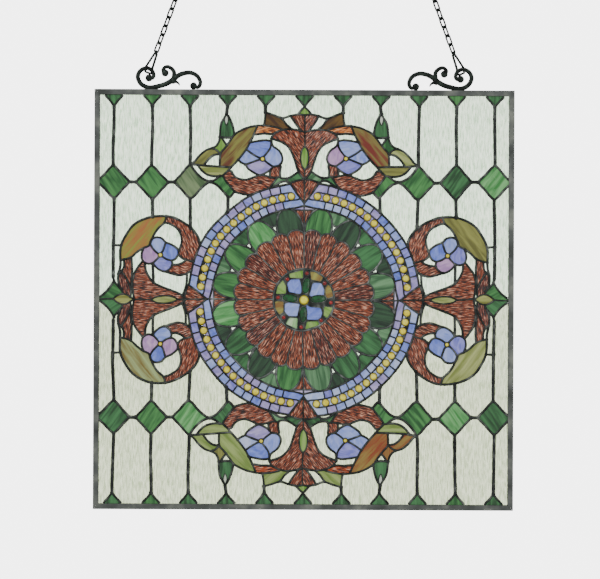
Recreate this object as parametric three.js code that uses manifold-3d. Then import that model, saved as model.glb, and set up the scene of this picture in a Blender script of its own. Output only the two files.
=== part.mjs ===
// Hanging stained glass panel: copper foil glass in a zinc came frame, with two cast scroll hooks,
// two wire chains and two ceiling hooks. Millimetres, +Z up, the front faces -Y.
// The origin is the middle of the left ceiling hook's plate, on the face that meets the ceiling.
import * as THREE from "three";
import { mergeVertices } from "three/addons/utils/BufferGeometryUtils.js";
import Module from "manifold-3d";

const wasm = await Module();
wasm.setup();

// Driving dimensions

const panelSide = 635; // outside of the came frame, both ways
const cameFace = 8.5; // width of the came seen from the front
const cameDepth = 7.4; // front to back
const cameWall = 1.2; // thickness of the came's lips and web
const glassInCame = 4; // how far the glass runs into the channel
const glassThickness = 3;
const latticeLineWidth = 4.2; // solder line of the upright lattice lines
const seamWidth = 3.4; // solder line of the ornament
const seamRise = 1.4; // how far a solder line stands above the glass
const clearance = 0.3; // gap between neighbouring pieces
const jewelRise = 3; // centre jewels above the glass
const hookThickness = 4.4; // cast scroll hook, front to back
const hookStem = 4.4; // width of its scrolls
const hookBallDiameter = 8.5;
const hookHeight = 36; // above the frame
const hookFromMiddle = 205; // middle of a scroll hook from the panel's middle
const clipWire = 2.4;
const clipRise = 25.8; // from the big scroll's top to the clip's apex
const clipRun = 14.7; // the same, sideways
const linkLength = 17.3;
const linkWidth = 8.6;
const linkWire = 1.8;
const linkCount = 7;
const linkBite = 0.15; // linked wires sink this far into each other
const chainLean = THREE.MathUtils.degToRad(20); // from upright, towards the middle
const ceilingPlateDiameter = 30;
const ceilingPlateThickness = 3;
const ceilingHookWire = 2.5;
const ceilingHookThroat = 5; // inside radius of the ceiling hook's bend
const ceilingStem = 12; // from the plate to the hook's bend

// The cartoon is drawn on a sheet 635 across and follows the panel's side.
const cartoonSide = 635;
const k = panelSide / cartoonSide;
const half = panelSide / 2;
const latticePitch = 57.6; // between upright lattice lines
const diamondRow = 178; // height of the diamonds' middles above and below the panel's middle
const diamondHalfWidth = 22;
const diamondHalfHeight = 25.5;
const edgeTriangleDepth = 17;
const medallionRadius = 176;
const mosaicWidth = 36.5; // ring of tiles and nuggets
const wreathWidth = 33.5; // ring of rounded leaves, down to the petals' tips
const scallopDepth = 7; // from a petal's tip to the notch beside it
const petalCount = 24;
const centreRadius = 46;
const centreJewelRadius = 7.5;
const marquiseLength = 24;
const marquiseWidth = 12;
const marquiseCircle = 21.5; // middle of a marquise jewel from the panel's middle
const rosetteTurn = -4.5; // degrees
const poleTop = 180; // top of an arrowhead on its axis
const poleTip = 146; // tip of an arrowhead
const poleHalfAngle = 7.1; // from the axis to an arrowhead's shoulder, degrees

const tileRadius = medallionRadius - mosaicWidth;
const petalTipRadius = tileRadius - wreathWidth;
const petalNotchRadius = petalTipRadius - scallopDepth;
const frontOf = -glassThickness / 2;
const seamHalfDepth = glassThickness / 2 + seamRise;

// Solids from drawings in the X-Z plane

function toSolid(geometry) {
  const bare = geometry.index ? geometry.toNonIndexed() : geometry.clone();
  bare.deleteAttribute("normal");
  bare.deleteAttribute("uv");
  const merged = mergeVertices(bare, 1e-4);
  return new wasm.Manifold(
    new wasm.Mesh({
      numProp: 3,
      vertProperties: merged.attributes.position.array,
      triVerts: new Uint32Array(merged.index.array),
    }),
  );
}

// A drawn outline (with holes) given depth from yFront to yBack.
function slab(outline, yFront, yBack, holes = []) {
  const toPoint = ([x, z]) => new THREE.Vector2(x, z);
  const corners = outline.map(toPoint);
  if (THREE.ShapeUtils.isClockWise(corners)) corners.reverse();
  const shape = new THREE.Shape(corners);
  shape.holes = holes.map((hole) => new THREE.Path(hole.map(toPoint)));
  const geometry = new THREE.ExtrudeGeometry(shape, {
    depth: yBack - yFront,
    bevelEnabled: false,
  });
  geometry.rotateX(Math.PI / 2); // drawing up becomes +Z, depth runs to -Y
  geometry.translate(0, yBack, 0);
  return toSolid(geometry);
}

// Points moved sideways from a line by the given distances, with mitred corners.
function offsetLine(points, distance, closed) {
  const last = points.length - 1;
  return points.map(([x, z], i) => {
    const before = points[i > 0 ? i - 1 : closed ? last : 0];
    const after = points[i < last ? i + 1 : closed ? 0 : last];
    const into = new THREE.Vector2(x - before[0], z - before[1]).normalize();
    const out = new THREE.Vector2(after[0] - x, after[1] - z).normalize();
    if (into.lengthSq() === 0) into.copy(out);
    if (out.lengthSq() === 0) out.copy(into);
    const along = into.clone().add(out).normalize();
    const mitre = Math.max(along.dot(into), 0.5);
    const step = (typeof distance === "number" ? distance : distance[i]) / mitre;
    return [x - along.y * step, z + along.x * step];
  });
}

// A band along a line, as wide as told, or with a width for each point.
function band(points, width, yFront, yBack, closed = false) {
  const side = typeof width === "number" ? width / 2 : width.map((w) => w / 2);
  const otherSide = typeof width === "number" ? -width / 2 : width.map((w) => -w / 2);
  const left = offsetLine(points, side, closed);
  const right = offsetLine(points, otherSide, closed);
  if (!closed) return slab([...left, ...right.reverse()], yFront, yBack);
  const rings = [left, right].sort((a, b) => areaOf(b) - areaOf(a));
  return slab(rings[0], yFront, yBack, [rings[1]]);
}

function areaOf(ring) {
  return Math.abs(THREE.ShapeUtils.area(ring.map(([x, z]) => new THREE.Vector2(x, z))));
}

// Points on a circle about the middle, angles in degrees from the upright axis, clockwise.
function arc(radius, from, to, steps) {
  return Array.from({ length: steps + 1 }, (_, i) => {
    const angle = THREE.MathUtils.degToRad(from + ((to - from) * i) / steps);
    return [radius * Math.sin(angle), radius * Math.cos(angle)];
  });
}

function joinAll(solids) {
  return wasm.Manifold.union(solids);
}

// The cartoon, one quarter: x to the right of the middle, z above it.
// A whole line goes through the glass, a face line lies on its front.

const wholeLines = [];
const faceLines = [];

function whole(points, width = seamWidth, closed = false) {
  wholeLines.push({ points, width, closed });
}

function face(points, width = seamWidth, closed = false) {
  faceLines.push({ points, width, closed });
}

// Lattice columns, edge triangles and the row of diamonds.
const columns = [1, 2, 3, 4, 5].map((i) => i * latticePitch);
const rowTop = diamondRow + diamondHalfHeight;
const rowBottom = diamondRow - diamondHalfHeight;
const frameEdge = half / k;
const triangleApex = frameEdge - cameFace - edgeTriangleDepth;
const [column1, column2, column3, column4, column5] = columns;

for (const x of [column3, column4, column5]) {
  whole(
    [
      [x, rowTop],
      [x + diamondHalfWidth, diamondRow],
      [x, rowBottom],
      [x - diamondHalfWidth, diamondRow],
    ],
    seamWidth,
    true,
  );
  face([[x, triangleApex], [x, rowTop]], latticeLineWidth);
}

// Top ornament: the right half of the scroll pair.
const crown = [33, 274.5];
const crownFoot = [column1, 281];
const leafRoot = [column1, 263];
const budFoot = [105, 250];
const budTip = [column2 + 1, 280];
const smallLeafTip = [column3 - 1, 205];
const ornamentTop = 280;
const vaseTop = 256;
const vaseTip = [50, 244];
const partDiamondTip = [144.5, diamondRow];
const partDiamondFoot = [column2, rowBottom];
const crescentHeel = [106, 162.5];
const onCircle = (radius, angle) => arc(radius, angle, angle, 1)[0];
const circlePoint = (angle) => onCircle(medallionRadius, angle);
const crescentEnd = circlePoint(27);

whole([[0, frameEdge], [0, vaseTop]], latticeLineWidth);
whole([[0, ornamentTop], crown, crownFoot, leafRoot]);
whole([leafRoot, [83, 260.5], budFoot]);
whole([budFoot, budTip, [128.5, 240], [150, 224.5], smallLeafTip]);
whole([smallLeafTip, partDiamondTip, partDiamondFoot, crescentHeel]);
whole([crescentHeel, crescentEnd]);
face([[column1, triangleApex], crownFoot], latticeLineWidth);
face([[column2, triangleApex], budTip], latticeLineWidth);
face([partDiamondFoot, [column2, 132]], latticeLineWidth);

// Red vase.
whole([[0, vaseTop], [31.5, 257], vaseTip, [28, 233.5], [15.5, 211], [0, poleTop]]);
face([[0, vaseTop], [0, poleTop]]);

// Flower of the top ornament.
const topFlowerMiddle = [64.5, 212.5];
const topFlower = [
  [83, 238.5],
  [vaseTip[0], 239],
  [35, 213],
  [67, 189],
  [98.5, 212],
];
whole(topFlower, seamWidth, true);
whole([vaseTip, topFlower[1]]);

// Long leaf, orange piece, brown leaf, small leaves and the lower red crescent.
const leafFoot = [110, 200.6];
face([topFlower[0], [71, 261.5]]);
face([leafFoot, [92, 181.5], topFlower[3], [30, 183]]);

// Right ornament: the upper half of the scroll pair.
const scrollFoot = [276, 12];
const scrollEnd = circlePoint(63.6);
whole([scrollFoot, [280, 40], [272, 90], [240, 123], [200, 124], [171, 107], scrollEnd]);
face([[column5, rowBottom], [column5, 24], scrollFoot], latticeLineWidth);
face([[column4, rowBottom], [column4, 124.8]], latticeLineWidth);
face([[column3, rowBottom], [column3, 108.5]], latticeLineWidth);

// Edge diamond, lens and the red body on the side axis.
const lensTip = [column5, 0];
const bodyTip = [243, 55];
whole([[frameEdge, 0], lensTip]);
whole([lensTip, scrollFoot]);
whole([scrollFoot, [259, 11], [257, 38], bodyTip, [224, 23], [poleTop, 0]]);
face([[poleTop, 0], [259, 0], lensTip]);

// Flower of the side ornament.
const sideFlowerMiddle = [216.6, 66.8];
const sideFlower = [
  [242, 76],
  [228, 95],
  [188, 74],
  [211, 41],
  [243, 55],
];
whole(sideFlower, seamWidth, true);

// Long leaf, red crescent and tail of the side ornament.
const crescentTip = [214, 117];
face([[276, 60], [258, 62], sideFlower[0]]);
face([crescentTip, [192, 106], sideFlower[2], circlePoint(71)]);
face([sideFlower[3], [190, 37], circlePoint(73)]);

// Medallion rings, arrowheads, wreath and rosette.
const poleCorner = circlePoint(poleHalfAngle);
const sideCorner = circlePoint(90 - poleHalfAngle);
whole(arc(medallionRadius, poleHalfAngle, 90 - poleHalfAngle, 7));
whole(arc(tileRadius, 0, 90, 6));
whole([[0, poleTop], poleCorner, [0, poleTip], [0, tileRadius]]);
whole([[poleTop, 0], sideCorner, [poleTip, 0], [tileRadius, 0]]);
face([[0, poleTop], [0, petalNotchRadius]]);
face([[poleTop, 0], [petalNotchRadius, 0]]);

const petalAngle = 360 / petalCount;
const scallops = [];
for (let i = 0; i < petalCount / 4; i += 1) {
  const angle = i * petalAngle;
  scallops.push(onCircle(petalNotchRadius, angle));
  scallops.push(onCircle(petalTipRadius, angle + petalAngle / 2));
  face([onCircle(centreRadius, angle), onCircle(petalNotchRadius, angle)]);
}
scallops.push(onCircle(petalNotchRadius, 90));
whole(scallops);
face([[centreRadius, 0], [petalNotchRadius, 0]]);
whole(arc(centreRadius, 0, 90, 3));

// Solder net and glass

const quarters = [
  { across: -1, up: 1, name: ["top", "left"] },
  { across: 1, up: 1, name: ["top", "right"] },
  { across: -1, up: -1, name: ["bottom", "left"] },
  { across: 1, up: -1, name: ["bottom", "right"] },
];

function placed(points, { across, up }) {
  return points.map(([x, z]) => [x * across * k, z * up * k]);
}

function drawLines(lines, extraWidth, yFront, yBack) {
  return quarters.flatMap((quarter) =>
    lines.map(({ points, width, closed }) =>
      band(placed(points, quarter), width + extraWidth, yFront, yBack, closed),
    ),
  );
}

function square(halfSide) {
  return [
    [-halfSide, -halfSide],
    [halfSide, -halfSide],
    [halfSide, halfSide],
    [-halfSide, halfSide],
  ];
}

const sight = square(half - cameFace - clearance);
const wholeNet = joinAll(drawLines(wholeLines, 0, -seamHalfDepth, seamHalfDepth));
const faceNet = joinAll(drawLines(faceLines, 0, -seamHalfDepth, frontOf - clearance));
const solderNet = joinAll([wholeNet, faceNet]).intersect(slab(sight, -seamHalfDepth, seamHalfDepth));

const sheet = slab(square(half - cameFace + glassInCame), frontOf, -frontOf);
const cuts = joinAll(drawLines(wholeLines, 2 * clearance, -glassThickness, glassThickness));
const panes = sheet.subtract(cuts).decompose();

// The pane that holds a point of the cartoon.
function paneAt([x, z]) {
  const probe = slab(
    square(0.5).map(([dx, dz]) => [x * k + dx, z * k + dz]),
    frontOf,
    -frontOf,
  );
  const pane = panes.find((candidate) => candidate.intersect(probe).volume() > 0);
  if (!pane) throw new Error(`no glass at ${x}, ${z}`);
  return pane;
}

// Zinc came frame: U-section bars, mitred at the corners

function cameBar(turns) {
  const inner = half - cameFace;
  const lip = cameDepth / 2;
  const channel = lip - cameWall;
  const section = new THREE.Shape([
    new THREE.Vector2(half, -lip),
    new THREE.Vector2(half, lip),
    new THREE.Vector2(inner, lip),
    new THREE.Vector2(inner, channel),
    new THREE.Vector2(half - cameWall, channel),
    new THREE.Vector2(half - cameWall, -channel),
    new THREE.Vector2(inner, -channel),
    new THREE.Vector2(inner, -lip),
  ]);
  const bar = new THREE.ExtrudeGeometry(section, { depth: 1, bevelEnabled: false });
  const position = bar.getAttribute("position");
  for (let i = 0; i < position.count; i += 1) {
    const out = position.getX(i);
    const depth = position.getY(i);
    const reach = out - clearance * Math.SQRT1_2;
    position.setXYZ(i, position.getZ(i) > 0.5 ? -reach : reach, depth, out);
  }
  bar.rotateY((turns * Math.PI) / 2);
  return toSolid(bar);
}

// Cast scroll hook, drawn above the frame's top with x from the panel's middle

const drawnHookHeight = 36;
const drawnHookMiddle = 205;
const hookScale = hookHeight / drawnHookHeight;
const curlTop = [239.2, 31.7];
const clipSeat = [236, 26.5];
const bigScroll = [
  [199, 14],
  [220, 4.6],
  [235, 2.2],
  [247, 7.5],
  [252.3, 18],
  [248.5, 27.5],
  curlTop,
  [231, 28],
  [228.2, 19.8],
  [234, 14.5],
];
const upperScroll = [[199, 13], [197.6, 25.5], [203.5, 32.5], [210, 33.6], [214.5, 29], [211.5, 24]];
const innerScroll = [[199, 14], [184.2, 23.6], [173.3, 25], [163, 20.5], [157.8, 11], [160.5, 3.6], [167, 1.8]];
const scrollBalls = [
  [236.5, 16.8],
  [211, 24.5],
  [168, 5.5],
];

function hookPoint([x, h], side) {
  return [
    side * (hookFromMiddle * k + (x - drawnHookMiddle) * hookScale),
    half + clearance + (h - hookStem / 2) * hookScale + hookStem / 2,
  ];
}

function ball([x, z], diameter) {
  const geometry = new THREE.SphereGeometry(diameter / 2, 6, 4);
  geometry.rotateX(Math.PI / 2);
  geometry.translate(x, 0, z);
  return toSolid(geometry);
}

function scrollHook(side) {
  const y = hookThickness / 2;
  const scrolls = [bigScroll, upperScroll, innerScroll].map((line) =>
    band(
      line.map((point) => hookPoint(point, side)),
      line.map((_, i) => hookStem * (1 - (0.3 * i) / line.length)),
      -y,
      y,
    ),
  );
  const balls = scrollBalls.map((point) => ball(hookPoint(point, side), hookBallDiameter));
  return joinAll([...scrolls, ...balls]);
}

// Chain: a bent wire clip through the scroll, then links turned a quarter from one to the next

const clipSide = hookThickness / 2 + clearance + clipWire / 2;
const linkPitch = linkLength - 2 * linkWire + linkBite;

function clipApex(side) {
  const [x, z] = hookPoint(curlTop, side);
  return [x - side * clipRun, z + clipRise];
}

function wireClip(side) {
  const apex = clipApex(side);
  const seat = hookPoint(clipSeat, side);
  const [curlX, curlZ] = hookPoint(curlTop, side);
  const frontLeg = band(
    [apex, [curlX, curlZ + clipWire], seat],
    clipWire,
    -clipSide - clipWire / 2,
    -clipSide + clipWire / 2,
  );
  const backLeg = band(
    [apex, seat],
    clipWire,
    clipSide - clipWire / 2,
    clipSide + clipWire / 2,
  );
  const across = (point) =>
    slab(
      square(clipWire / 2).map(([dx, dz]) => [point[0] + dx, point[1] + dz]),
      -clipSide - clipWire / 2,
      clipSide + clipWire / 2,
    );
  return [frontLeg, backLeg, across(apex), across(seat)];
}

function link(index) {
  const chamfer = linkWidth / 4;
  const outline = (inset) => {
    const wide = linkWidth / 2 - inset;
    const long = linkLength / 2 - inset;
    const cut = chamfer - inset * 0.4;
    return [
      [wide, long - cut * 1.6],
      [wide - cut, long],
      [cut - wide, long],
      [-wide, long - cut * 1.6],
      [-wide, cut * 1.6 - long],
      [cut - wide, -long],
      [wide - cut, -long],
      [wide, cut * 1.6 - long],
    ];
  };
  const ring = slab(outline(0), -linkWire / 2, linkWire / 2, [outline(linkWire)]);
  const quarterTurns = index % 2;
  const start = linkLength / 2 - linkWire - clipWire / 2 + linkBite;
  return ring.rotate([0, 0, 90 * quarterTurns]).translate([0, 0, start + index * linkPitch]);
}

function chain(side) {
  const [x, z] = clipApex(side);
  const lean = THREE.MathUtils.radToDeg(chainLean) * -side;
  const links = Array.from({ length: linkCount }, (_, i) =>
    link(i).rotate([0, lean, 0]).translate([x, 0, z]),
  );
  return joinAll([...wireClip(side), ...links]);
}

// Ceiling hook: a round plate, a stem and a hook that turns up through the last link

// Where the hook's wire runs through the leaning last link, just under its upper end.
function hookSeat(side) {
  const [x, z] = clipApex(side);
  const linkRest = clearance + ceilingHookWire * 0.75;
  const run = linkCount * linkPitch - clipWire / 2 - linkRest;
  return [x - side * run * Math.sin(chainLean), z + run * Math.cos(chainLean)];
}

const hookBend = ceilingHookThroat + ceilingHookWire / 2;
const hookMiddle = hookSeat(1)[1] + hookBend;
const plateTop = hookMiddle + hookBend + ceilingStem + ceilingPlateThickness;

function ceilingHook(side) {
  const bend = Array.from({ length: 7 }, (_, i) => {
    const angle = Math.PI * (1 - i / 4);
    return [hookBend * Math.sin(angle), hookMiddle - hookBend * Math.cos(angle)];
  });
  const hook = band(
    [[0, plateTop - ceilingPlateThickness / 2], ...bend],
    ceilingHookWire,
    -ceilingHookWire / 2,
    ceilingHookWire / 2,
  );
  const plate = new THREE.CylinderGeometry(
    ceilingPlateDiameter / 2,
    ceilingPlateDiameter / 2,
    ceilingPlateThickness,
    12,
  );
  plate.rotateX(Math.PI / 2);
  plate.translate(0, 0, plateTop - ceilingPlateThickness / 2);
  return joinAll([hook.rotate([0, 0, 90]), toSolid(plate)]).translate([hookSeat(side)[0], 0, 0]);
}

// Centre jewel and the four marquise jewels, raised from the glass

const jewelSides = 8;

function raisedJewel(outline) {
  return slab(outline.map(([x, z]) => [x * k, z * k]), frontOf - jewelRise, 0);
}

function centreRosette() {
  const jewels = [raisedJewel(arc(centreJewelRadius, 0, 360 - 360 / jewelSides, jewelSides - 1))];
  const long = marquiseLength / 2;
  const wide = marquiseWidth / 2;
  const outline = [
    [-long, 0],
    [-long / 2, wide * 0.8],
    [0, wide],
    [long / 2, wide * 0.8],
    [long, 0],
    [long / 2, -wide * 0.8],
    [0, -wide],
    [-long / 2, -wide * 0.8],
  ];
  for (let turn = 0; turn < 4; turn += 1) {
    const angle = THREE.MathUtils.degToRad(rosetteTurn + 90 * turn);
    const [c, s] = [Math.cos(angle), Math.sin(angle)];
    jewels.push(
      raisedJewel(
        outline.map(([x, z]) => [(x + marquiseCircle) * c - z * s, (x + marquiseCircle) * s + z * c]),
      ),
    );
  }
  return joinAll([paneAt(onCircle(centreRadius / 2, 45)), ...jewels]);
}

// Named meshes

const materials = {
  zinc: { color: "#7f8584", roughness: 0.5, metalness: 0.9 },
  solder: { color: "#4c4e4d", roughness: 0.45, metalness: 0.9 },
  bronze: { color: "#241f1b", roughness: 0.5, metalness: 0.8 },
  clear: { color: "#dfe8de", roughness: 0.15, metalness: 0 },
  green: { color: "#3f7a4a", roughness: 0.2, metalness: 0 },
  olive: { color: "#7c7434", roughness: 0.2, metalness: 0 },
  red: { color: "#8b3a20", roughness: 0.25, metalness: 0 },
  blue: { color: "#9aaee0", roughness: 0.2, metalness: 0 },
  amber: { color: "#c9b25a", roughness: 0.2, metalness: 0 },
};
for (const name of Object.keys(materials)) {
  materials[name] = new THREE.MeshStandardMaterial(materials[name]);
}

const part = new THREE.Group();
part.position.set(-hookSeat(-1)[0], 0, -plateTop);

function add(name, solid, material) {
  const { numProp, vertProperties, triVerts } = solid.simplify(0.01).getMesh();
  const corners = new Float32Array((vertProperties.length / numProp) * 3);
  for (let i = 0; i < corners.length / 3; i += 1) {
    corners.set(vertProperties.subarray(i * numProp, i * numProp + 3), i * 3);
  }
  const geometry = new THREE.BufferGeometry();
  geometry.setAttribute("position", new THREE.BufferAttribute(corners, 3));
  geometry.setIndex(new THREE.BufferAttribute(new Uint32Array(triVerts), 1));
  const shaded = geometry.toNonIndexed();
  shaded.computeVertexNormals();
  const mesh = new THREE.Mesh(shaded, materials[material]);
  mesh.name = name;
  part.add(mesh);
}

["top", "left", "bottom", "right"].forEach((edge, turns) => {
  add(`frame_${edge}`, cameBar(-turns), "zinc");
});
add("solder_lines", solderNet, "solder");

const clearMiddle = [(column3 + column4) / 2, (rowTop + triangleApex) / 2];
for (const { across, up, name: [upName, acrossName] } of quarters) {
  const here = ([x, z]) => paneAt([x * across, z * up]);
  const upperName = up > 0 ? "upper" : "lower";
  add(`clear_glass_${upName}_${acrossName}`, here(clearMiddle), "clear");
  [column3, column4, column5].forEach((x, i) => {
    add(`diamond_${upName}_${acrossName}_${i + 1}`, here([x, diamondRow]), "green");
  });
  add(`${upName}_scroll_${acrossName}`, here([118, 225]), "olive");
  add(`${upName}_flower_${acrossName}`, here(topFlowerMiddle), "blue");
  add(`${acrossName}_scroll_${upperName}`, here([255, 90]), "red");
  add(`${acrossName}_flower_${upperName}`, here(sideFlowerMiddle), "blue");
  add(`mosaic_${upName}_${acrossName}`, here(onCircle(medallionRadius - mosaicWidth / 2, 45)), "amber");
}
const besideAxis = 5; // off the solder line on the axis
for (const [name, direction] of [["top", [0, 1]], ["bottom", [0, -1]], ["left", [-1, 0]], ["right", [1, 0]]]) {
  const along = (distance) => paneAt(direction.map((d) => d * distance || besideAxis));
  add(`vase_${name}`, along((vaseTop + poleTop) / 2), "red");
  add(`arrowhead_${name}`, along((poleTop + poleTip) / 2), "red");
}
add("leaf_wreath", paneAt(onCircle(tileRadius - wreathWidth / 2, 30)), "green");
add("petal_rosette", paneAt(onCircle((centreRadius + petalNotchRadius) / 2, 45)), "red");
add("centre_rosette", centreRosette(), "blue");

for (const [name, side] of [["left", -1], ["right", 1]]) {
  add(`scroll_hook_${name}`, scrollHook(side), "bronze");
  add(`chain_${name}`, chain(side), "bronze");
  add(`ceiling_hook_${name}`, ceilingHook(side), "bronze");
}

export default part;
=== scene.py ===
import math
import random

import bmesh
import bpy
from mathutils import Matrix, Vector, noise
from mathutils.bvhtree import BVHTree
from mathutils.geometry import delaunay_2d_cdt
from mathutils.kdtree import KDTree


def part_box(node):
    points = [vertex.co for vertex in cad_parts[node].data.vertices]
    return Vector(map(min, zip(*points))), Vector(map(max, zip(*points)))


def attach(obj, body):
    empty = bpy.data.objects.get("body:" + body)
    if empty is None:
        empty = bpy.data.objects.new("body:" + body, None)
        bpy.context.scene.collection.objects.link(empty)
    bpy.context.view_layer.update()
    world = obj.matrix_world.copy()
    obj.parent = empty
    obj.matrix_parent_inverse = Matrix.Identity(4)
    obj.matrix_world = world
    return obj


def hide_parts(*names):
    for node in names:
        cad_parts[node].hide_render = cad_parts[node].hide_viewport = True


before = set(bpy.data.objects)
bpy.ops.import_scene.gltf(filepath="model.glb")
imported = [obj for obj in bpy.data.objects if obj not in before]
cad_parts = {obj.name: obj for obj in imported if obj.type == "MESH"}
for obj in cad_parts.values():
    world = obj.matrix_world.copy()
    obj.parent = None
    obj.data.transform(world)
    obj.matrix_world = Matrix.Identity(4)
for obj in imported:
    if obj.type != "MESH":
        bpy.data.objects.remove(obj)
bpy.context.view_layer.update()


# Cartoon: the full-size paper drawing that every glass piece is cut to. One quarter is drawn, in
# millimetres, x to the right of the panel's middle and z above it, and turned over into the other
# three, a little uneven as hand-cut work is.

millimetre = 0.001
bar_low = {edge: Vector(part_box(f"frame_{edge}")[0]) for edge in ("left", "right", "top", "bottom")}
bar_high = {edge: Vector(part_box(f"frame_{edge}")[1]) for edge in ("left", "right", "top", "bottom")}
panel_middle = Vector((
    (bar_low["left"].x + bar_high["right"].x) / 2,
    (bar_low["left"].y + bar_high["left"].y) / 2,
    (bar_low["bottom"].z + bar_high["top"].z) / 2,
))
half_panel = (bar_high["right"].x - bar_low["left"].x) / 2 / millimetre
came_face = 8.5
sight_edge = half_panel - came_face
glass_edge = sight_edge + 4  # the glass runs into the came's channel
lattice_width = 5.6
seam_width = 3.9
fine_width = 1.9
ring_middle = 157.6  # circle of the gold nuggets
ring_outer = 176
tile_line_outer = 163.6
tile_line_inner = 151.6
ring_inner = 139.5
petal_tip = 106
petal_notch = 99.3
petal_count = 24
rosette_core = 46
leaf_count = 16
nugget_radius = 5.4
bead_radius = 3.6


def spline(points, step=2.6):
    """A smooth line through the points, with a corner at neither end."""
    ends = [Vector(points[0]) * 2 - Vector(points[1])] + [Vector(p) for p in points]
    ends.append(Vector(points[-1]) * 2 - Vector(points[-2]))
    line = [ends[1]]
    for before, start, stop, after in zip(ends, ends[1:], ends[2:], ends[3:]):
        parts = max(1, round((stop - start).length / step))
        for i in range(1, parts + 1):
            t = i / parts
            line.append(
                (
                    start * 2
                    + (stop - before) * t
                    + (before * 2 - start * 5 + stop * 4 - after) * t * t
                    + (start * 3 - before - stop * 3 + after) * t ** 3
                ) / 2
            )
    return line


def polar(radius, angle):
    """A point on a circle about the middle, its angle in degrees clockwise from the upright axis."""
    return Vector((radius * math.sin(math.radians(angle)), radius * math.cos(math.radians(angle))))


def arc(radius, start, stop, step=2.6):
    parts = max(3, round(radius * math.radians(abs(stop - start)) / step))
    return [polar(radius, start + (stop - start) * i / parts) for i in range(parts + 1)]


def circle(middle, radius, sides=16):
    return [Vector(middle) + polar(radius, 360 * i / sides) for i in range(sides + 1)]


quarter_seams = []  # each is a line and its solder's width


def seam(*points, width=seam_width):
    quarter_seams.append([spline(points), width])


# Lattice columns, edge triangles and diamonds.
columns = (58, 116, 173, 230, 288)
triangle_tip = 292
diamond_row = 178
diamond_half_width = 24
diamond_half_height = 26
column_pitch = 57.5
diamond_width = 4.2
for column in (0,) + columns:
    for side in (-1, 1) if column else (1,):
        seam(
            (column + side * 15, glass_edge),
            (column + side * 12, 306.5),
            (column + side * 5.5, 299.5),
            (column, triangle_tip),
        )


def diamond_side(column, side, up):
    seam(
        (column, diamond_row + up * diamond_half_height),
        (column + side * 6, diamond_row + up * 20.5),
        (column + side * 13.5, diamond_row + up * 11.5),
        (column + side * 19.5, diamond_row + up * 5.5),
        (column + side * diamond_half_width, diamond_row),
        width=diamond_width,
    )


for column in columns[2:]:
    seam((column, triangle_tip), (column, diamond_row + diamond_half_height), width=lattice_width)
    next_tip = min(glass_edge, column + column_pitch - diamond_half_width)
    seam((column + diamond_half_width, diamond_row), (next_tip, diamond_row), width=lattice_width)
    for up in (-1, 1):
        diamond_side(column, 1, up)
        if column > columns[2]:
            diamond_side(column, -1, up)
seam((173, 152), (171, 107), width=lattice_width)
seam((230, 152), (230, 125.4), width=lattice_width)
seam((288, 152), (288, 32), width=lattice_width)
seam((115.5, 154), (116, 132), width=lattice_width)

# Top ornament, outer lines: crown over the vase, brown leaf, long leaf, bud and small leaves.
seam((58, triangle_tip), (57.8, 282.5), width=lattice_width)
seam((57.8, 282.5), (58.6, 272), (60.3, 263))
seam((57.8, 283), (45.5, 279), (33, 275), (21, 278.6), (10, 281), (0, 280))
seam((0, triangle_tip), (5.2, 287), (10, 281))
seam((36, 275.8), (31.5, 271.5), (26.5, 264.5), (19.5, 259))
seam((20.5, 278.6), (16, 270.5), (11, 263.5), (5.5, 257))
seam((60.3, 263), (46, 261), (33, 257.6))
seam((60.3, 263), (70, 262.5), (82.8, 260.3), (93.8, 256), (104.7, 249.3), (112, 239.5), (120, 229),
     (127, 220), (128, 201.8))
seam((70, 262.3), (76.7, 247.5), (82.2, 237.5), (87.7, 227.6), (99.5, 212.3), (110.2, 200.8))
seam((75.7, 249.5), (62, 251), (50, 250.4), (41.4, 253.5))
seam((116, triangle_tip), (117.3, 280.5), width=lattice_width)
seam((117.3, 280.5), (122, 272.5), (125.5, 266), (127, 256.6), (127.6, 248), (129.2, 238.5),
     (134, 231.5), (141.3, 228), (149.8, 224.6), (159.5, 216.4), (166, 208.5), (172.5, 204))
seam((117.3, 280.5), (113, 275), (109.3, 267), (106.6, 258), (105.2, 249))
seam((117.3, 280.5), (120.4, 272), (117.3, 263.5), (114.4, 272), (117.3, 280.5), width=fine_width)
seam((127.6, 245), (117, 244.2), (108.5, 245))
seam((125.6, 244.8), (121, 238), (117, 233))
seam((141.3, 228), (134, 226.2), (127, 220))
seam((127, 220), (136.4, 218.6), (144.9, 212.5), (152.5, 202.6))
seam((110.2, 200.8), (128, 201.6), (152.5, 202.4), (163, 203.4), (173, 204.3))
seam((162, 203.2), (155, 194.8), (147.4, 189.4), (137.6, 187), (128, 187.3), (121, 189), (115.4, 194.8),
     (110.2, 200.8))
seam((172.5, 204), (167.4, 196), (159.5, 187.2), (150, 180.8), (141.3, 179), (134, 181.8), (127, 187.4),
     width=diamond_width)

# Vase, red crescents, clear pieces round the flower, and green pieces over the pole.
thin_width = 3.0
seam((50.5, 243.5), (47.5, 248.5), (41.4, 253.3), (31.7, 257), (19.5, 258.2), (7.3, 256.5), (0, 254.7))
seam((50.5, 243.5), (38.2, 239.2), (28.4, 233.6), (20.8, 223.7), (16, 211.5), (12.4, 200.6),
     (9.5, 192.5), (4, 185), (0, 181.5))
seam((0, 280), (0, 232.5), width=thin_width)
seam((0, 195.5), (0, 181), width=thin_width)
seam((0, 232.5), (4.6, 226), (6.4, 214), (4.6, 202.5), (0, 195.5), width=thin_width)
seam((50.5, 243.5), (50.5, 239.3))
seam((115.4, 194.8), (110, 194.8), (104.7, 187.2), (97.4, 182.4), (87.7, 181), (78, 184), (68, 188),
     (60, 187.5), (52, 186), (44, 184.8), (37, 186))
seam((115.4, 194.8), (121.8, 187.8), (117.5, 179.3), (110.8, 170.5), (105, 163), (96.2, 159.6),
     (86.5, 157.7), (77, 158.3))
seam((52, 168.2), (47.5, 175), (43.8, 181), (41, 185.2))
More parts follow.
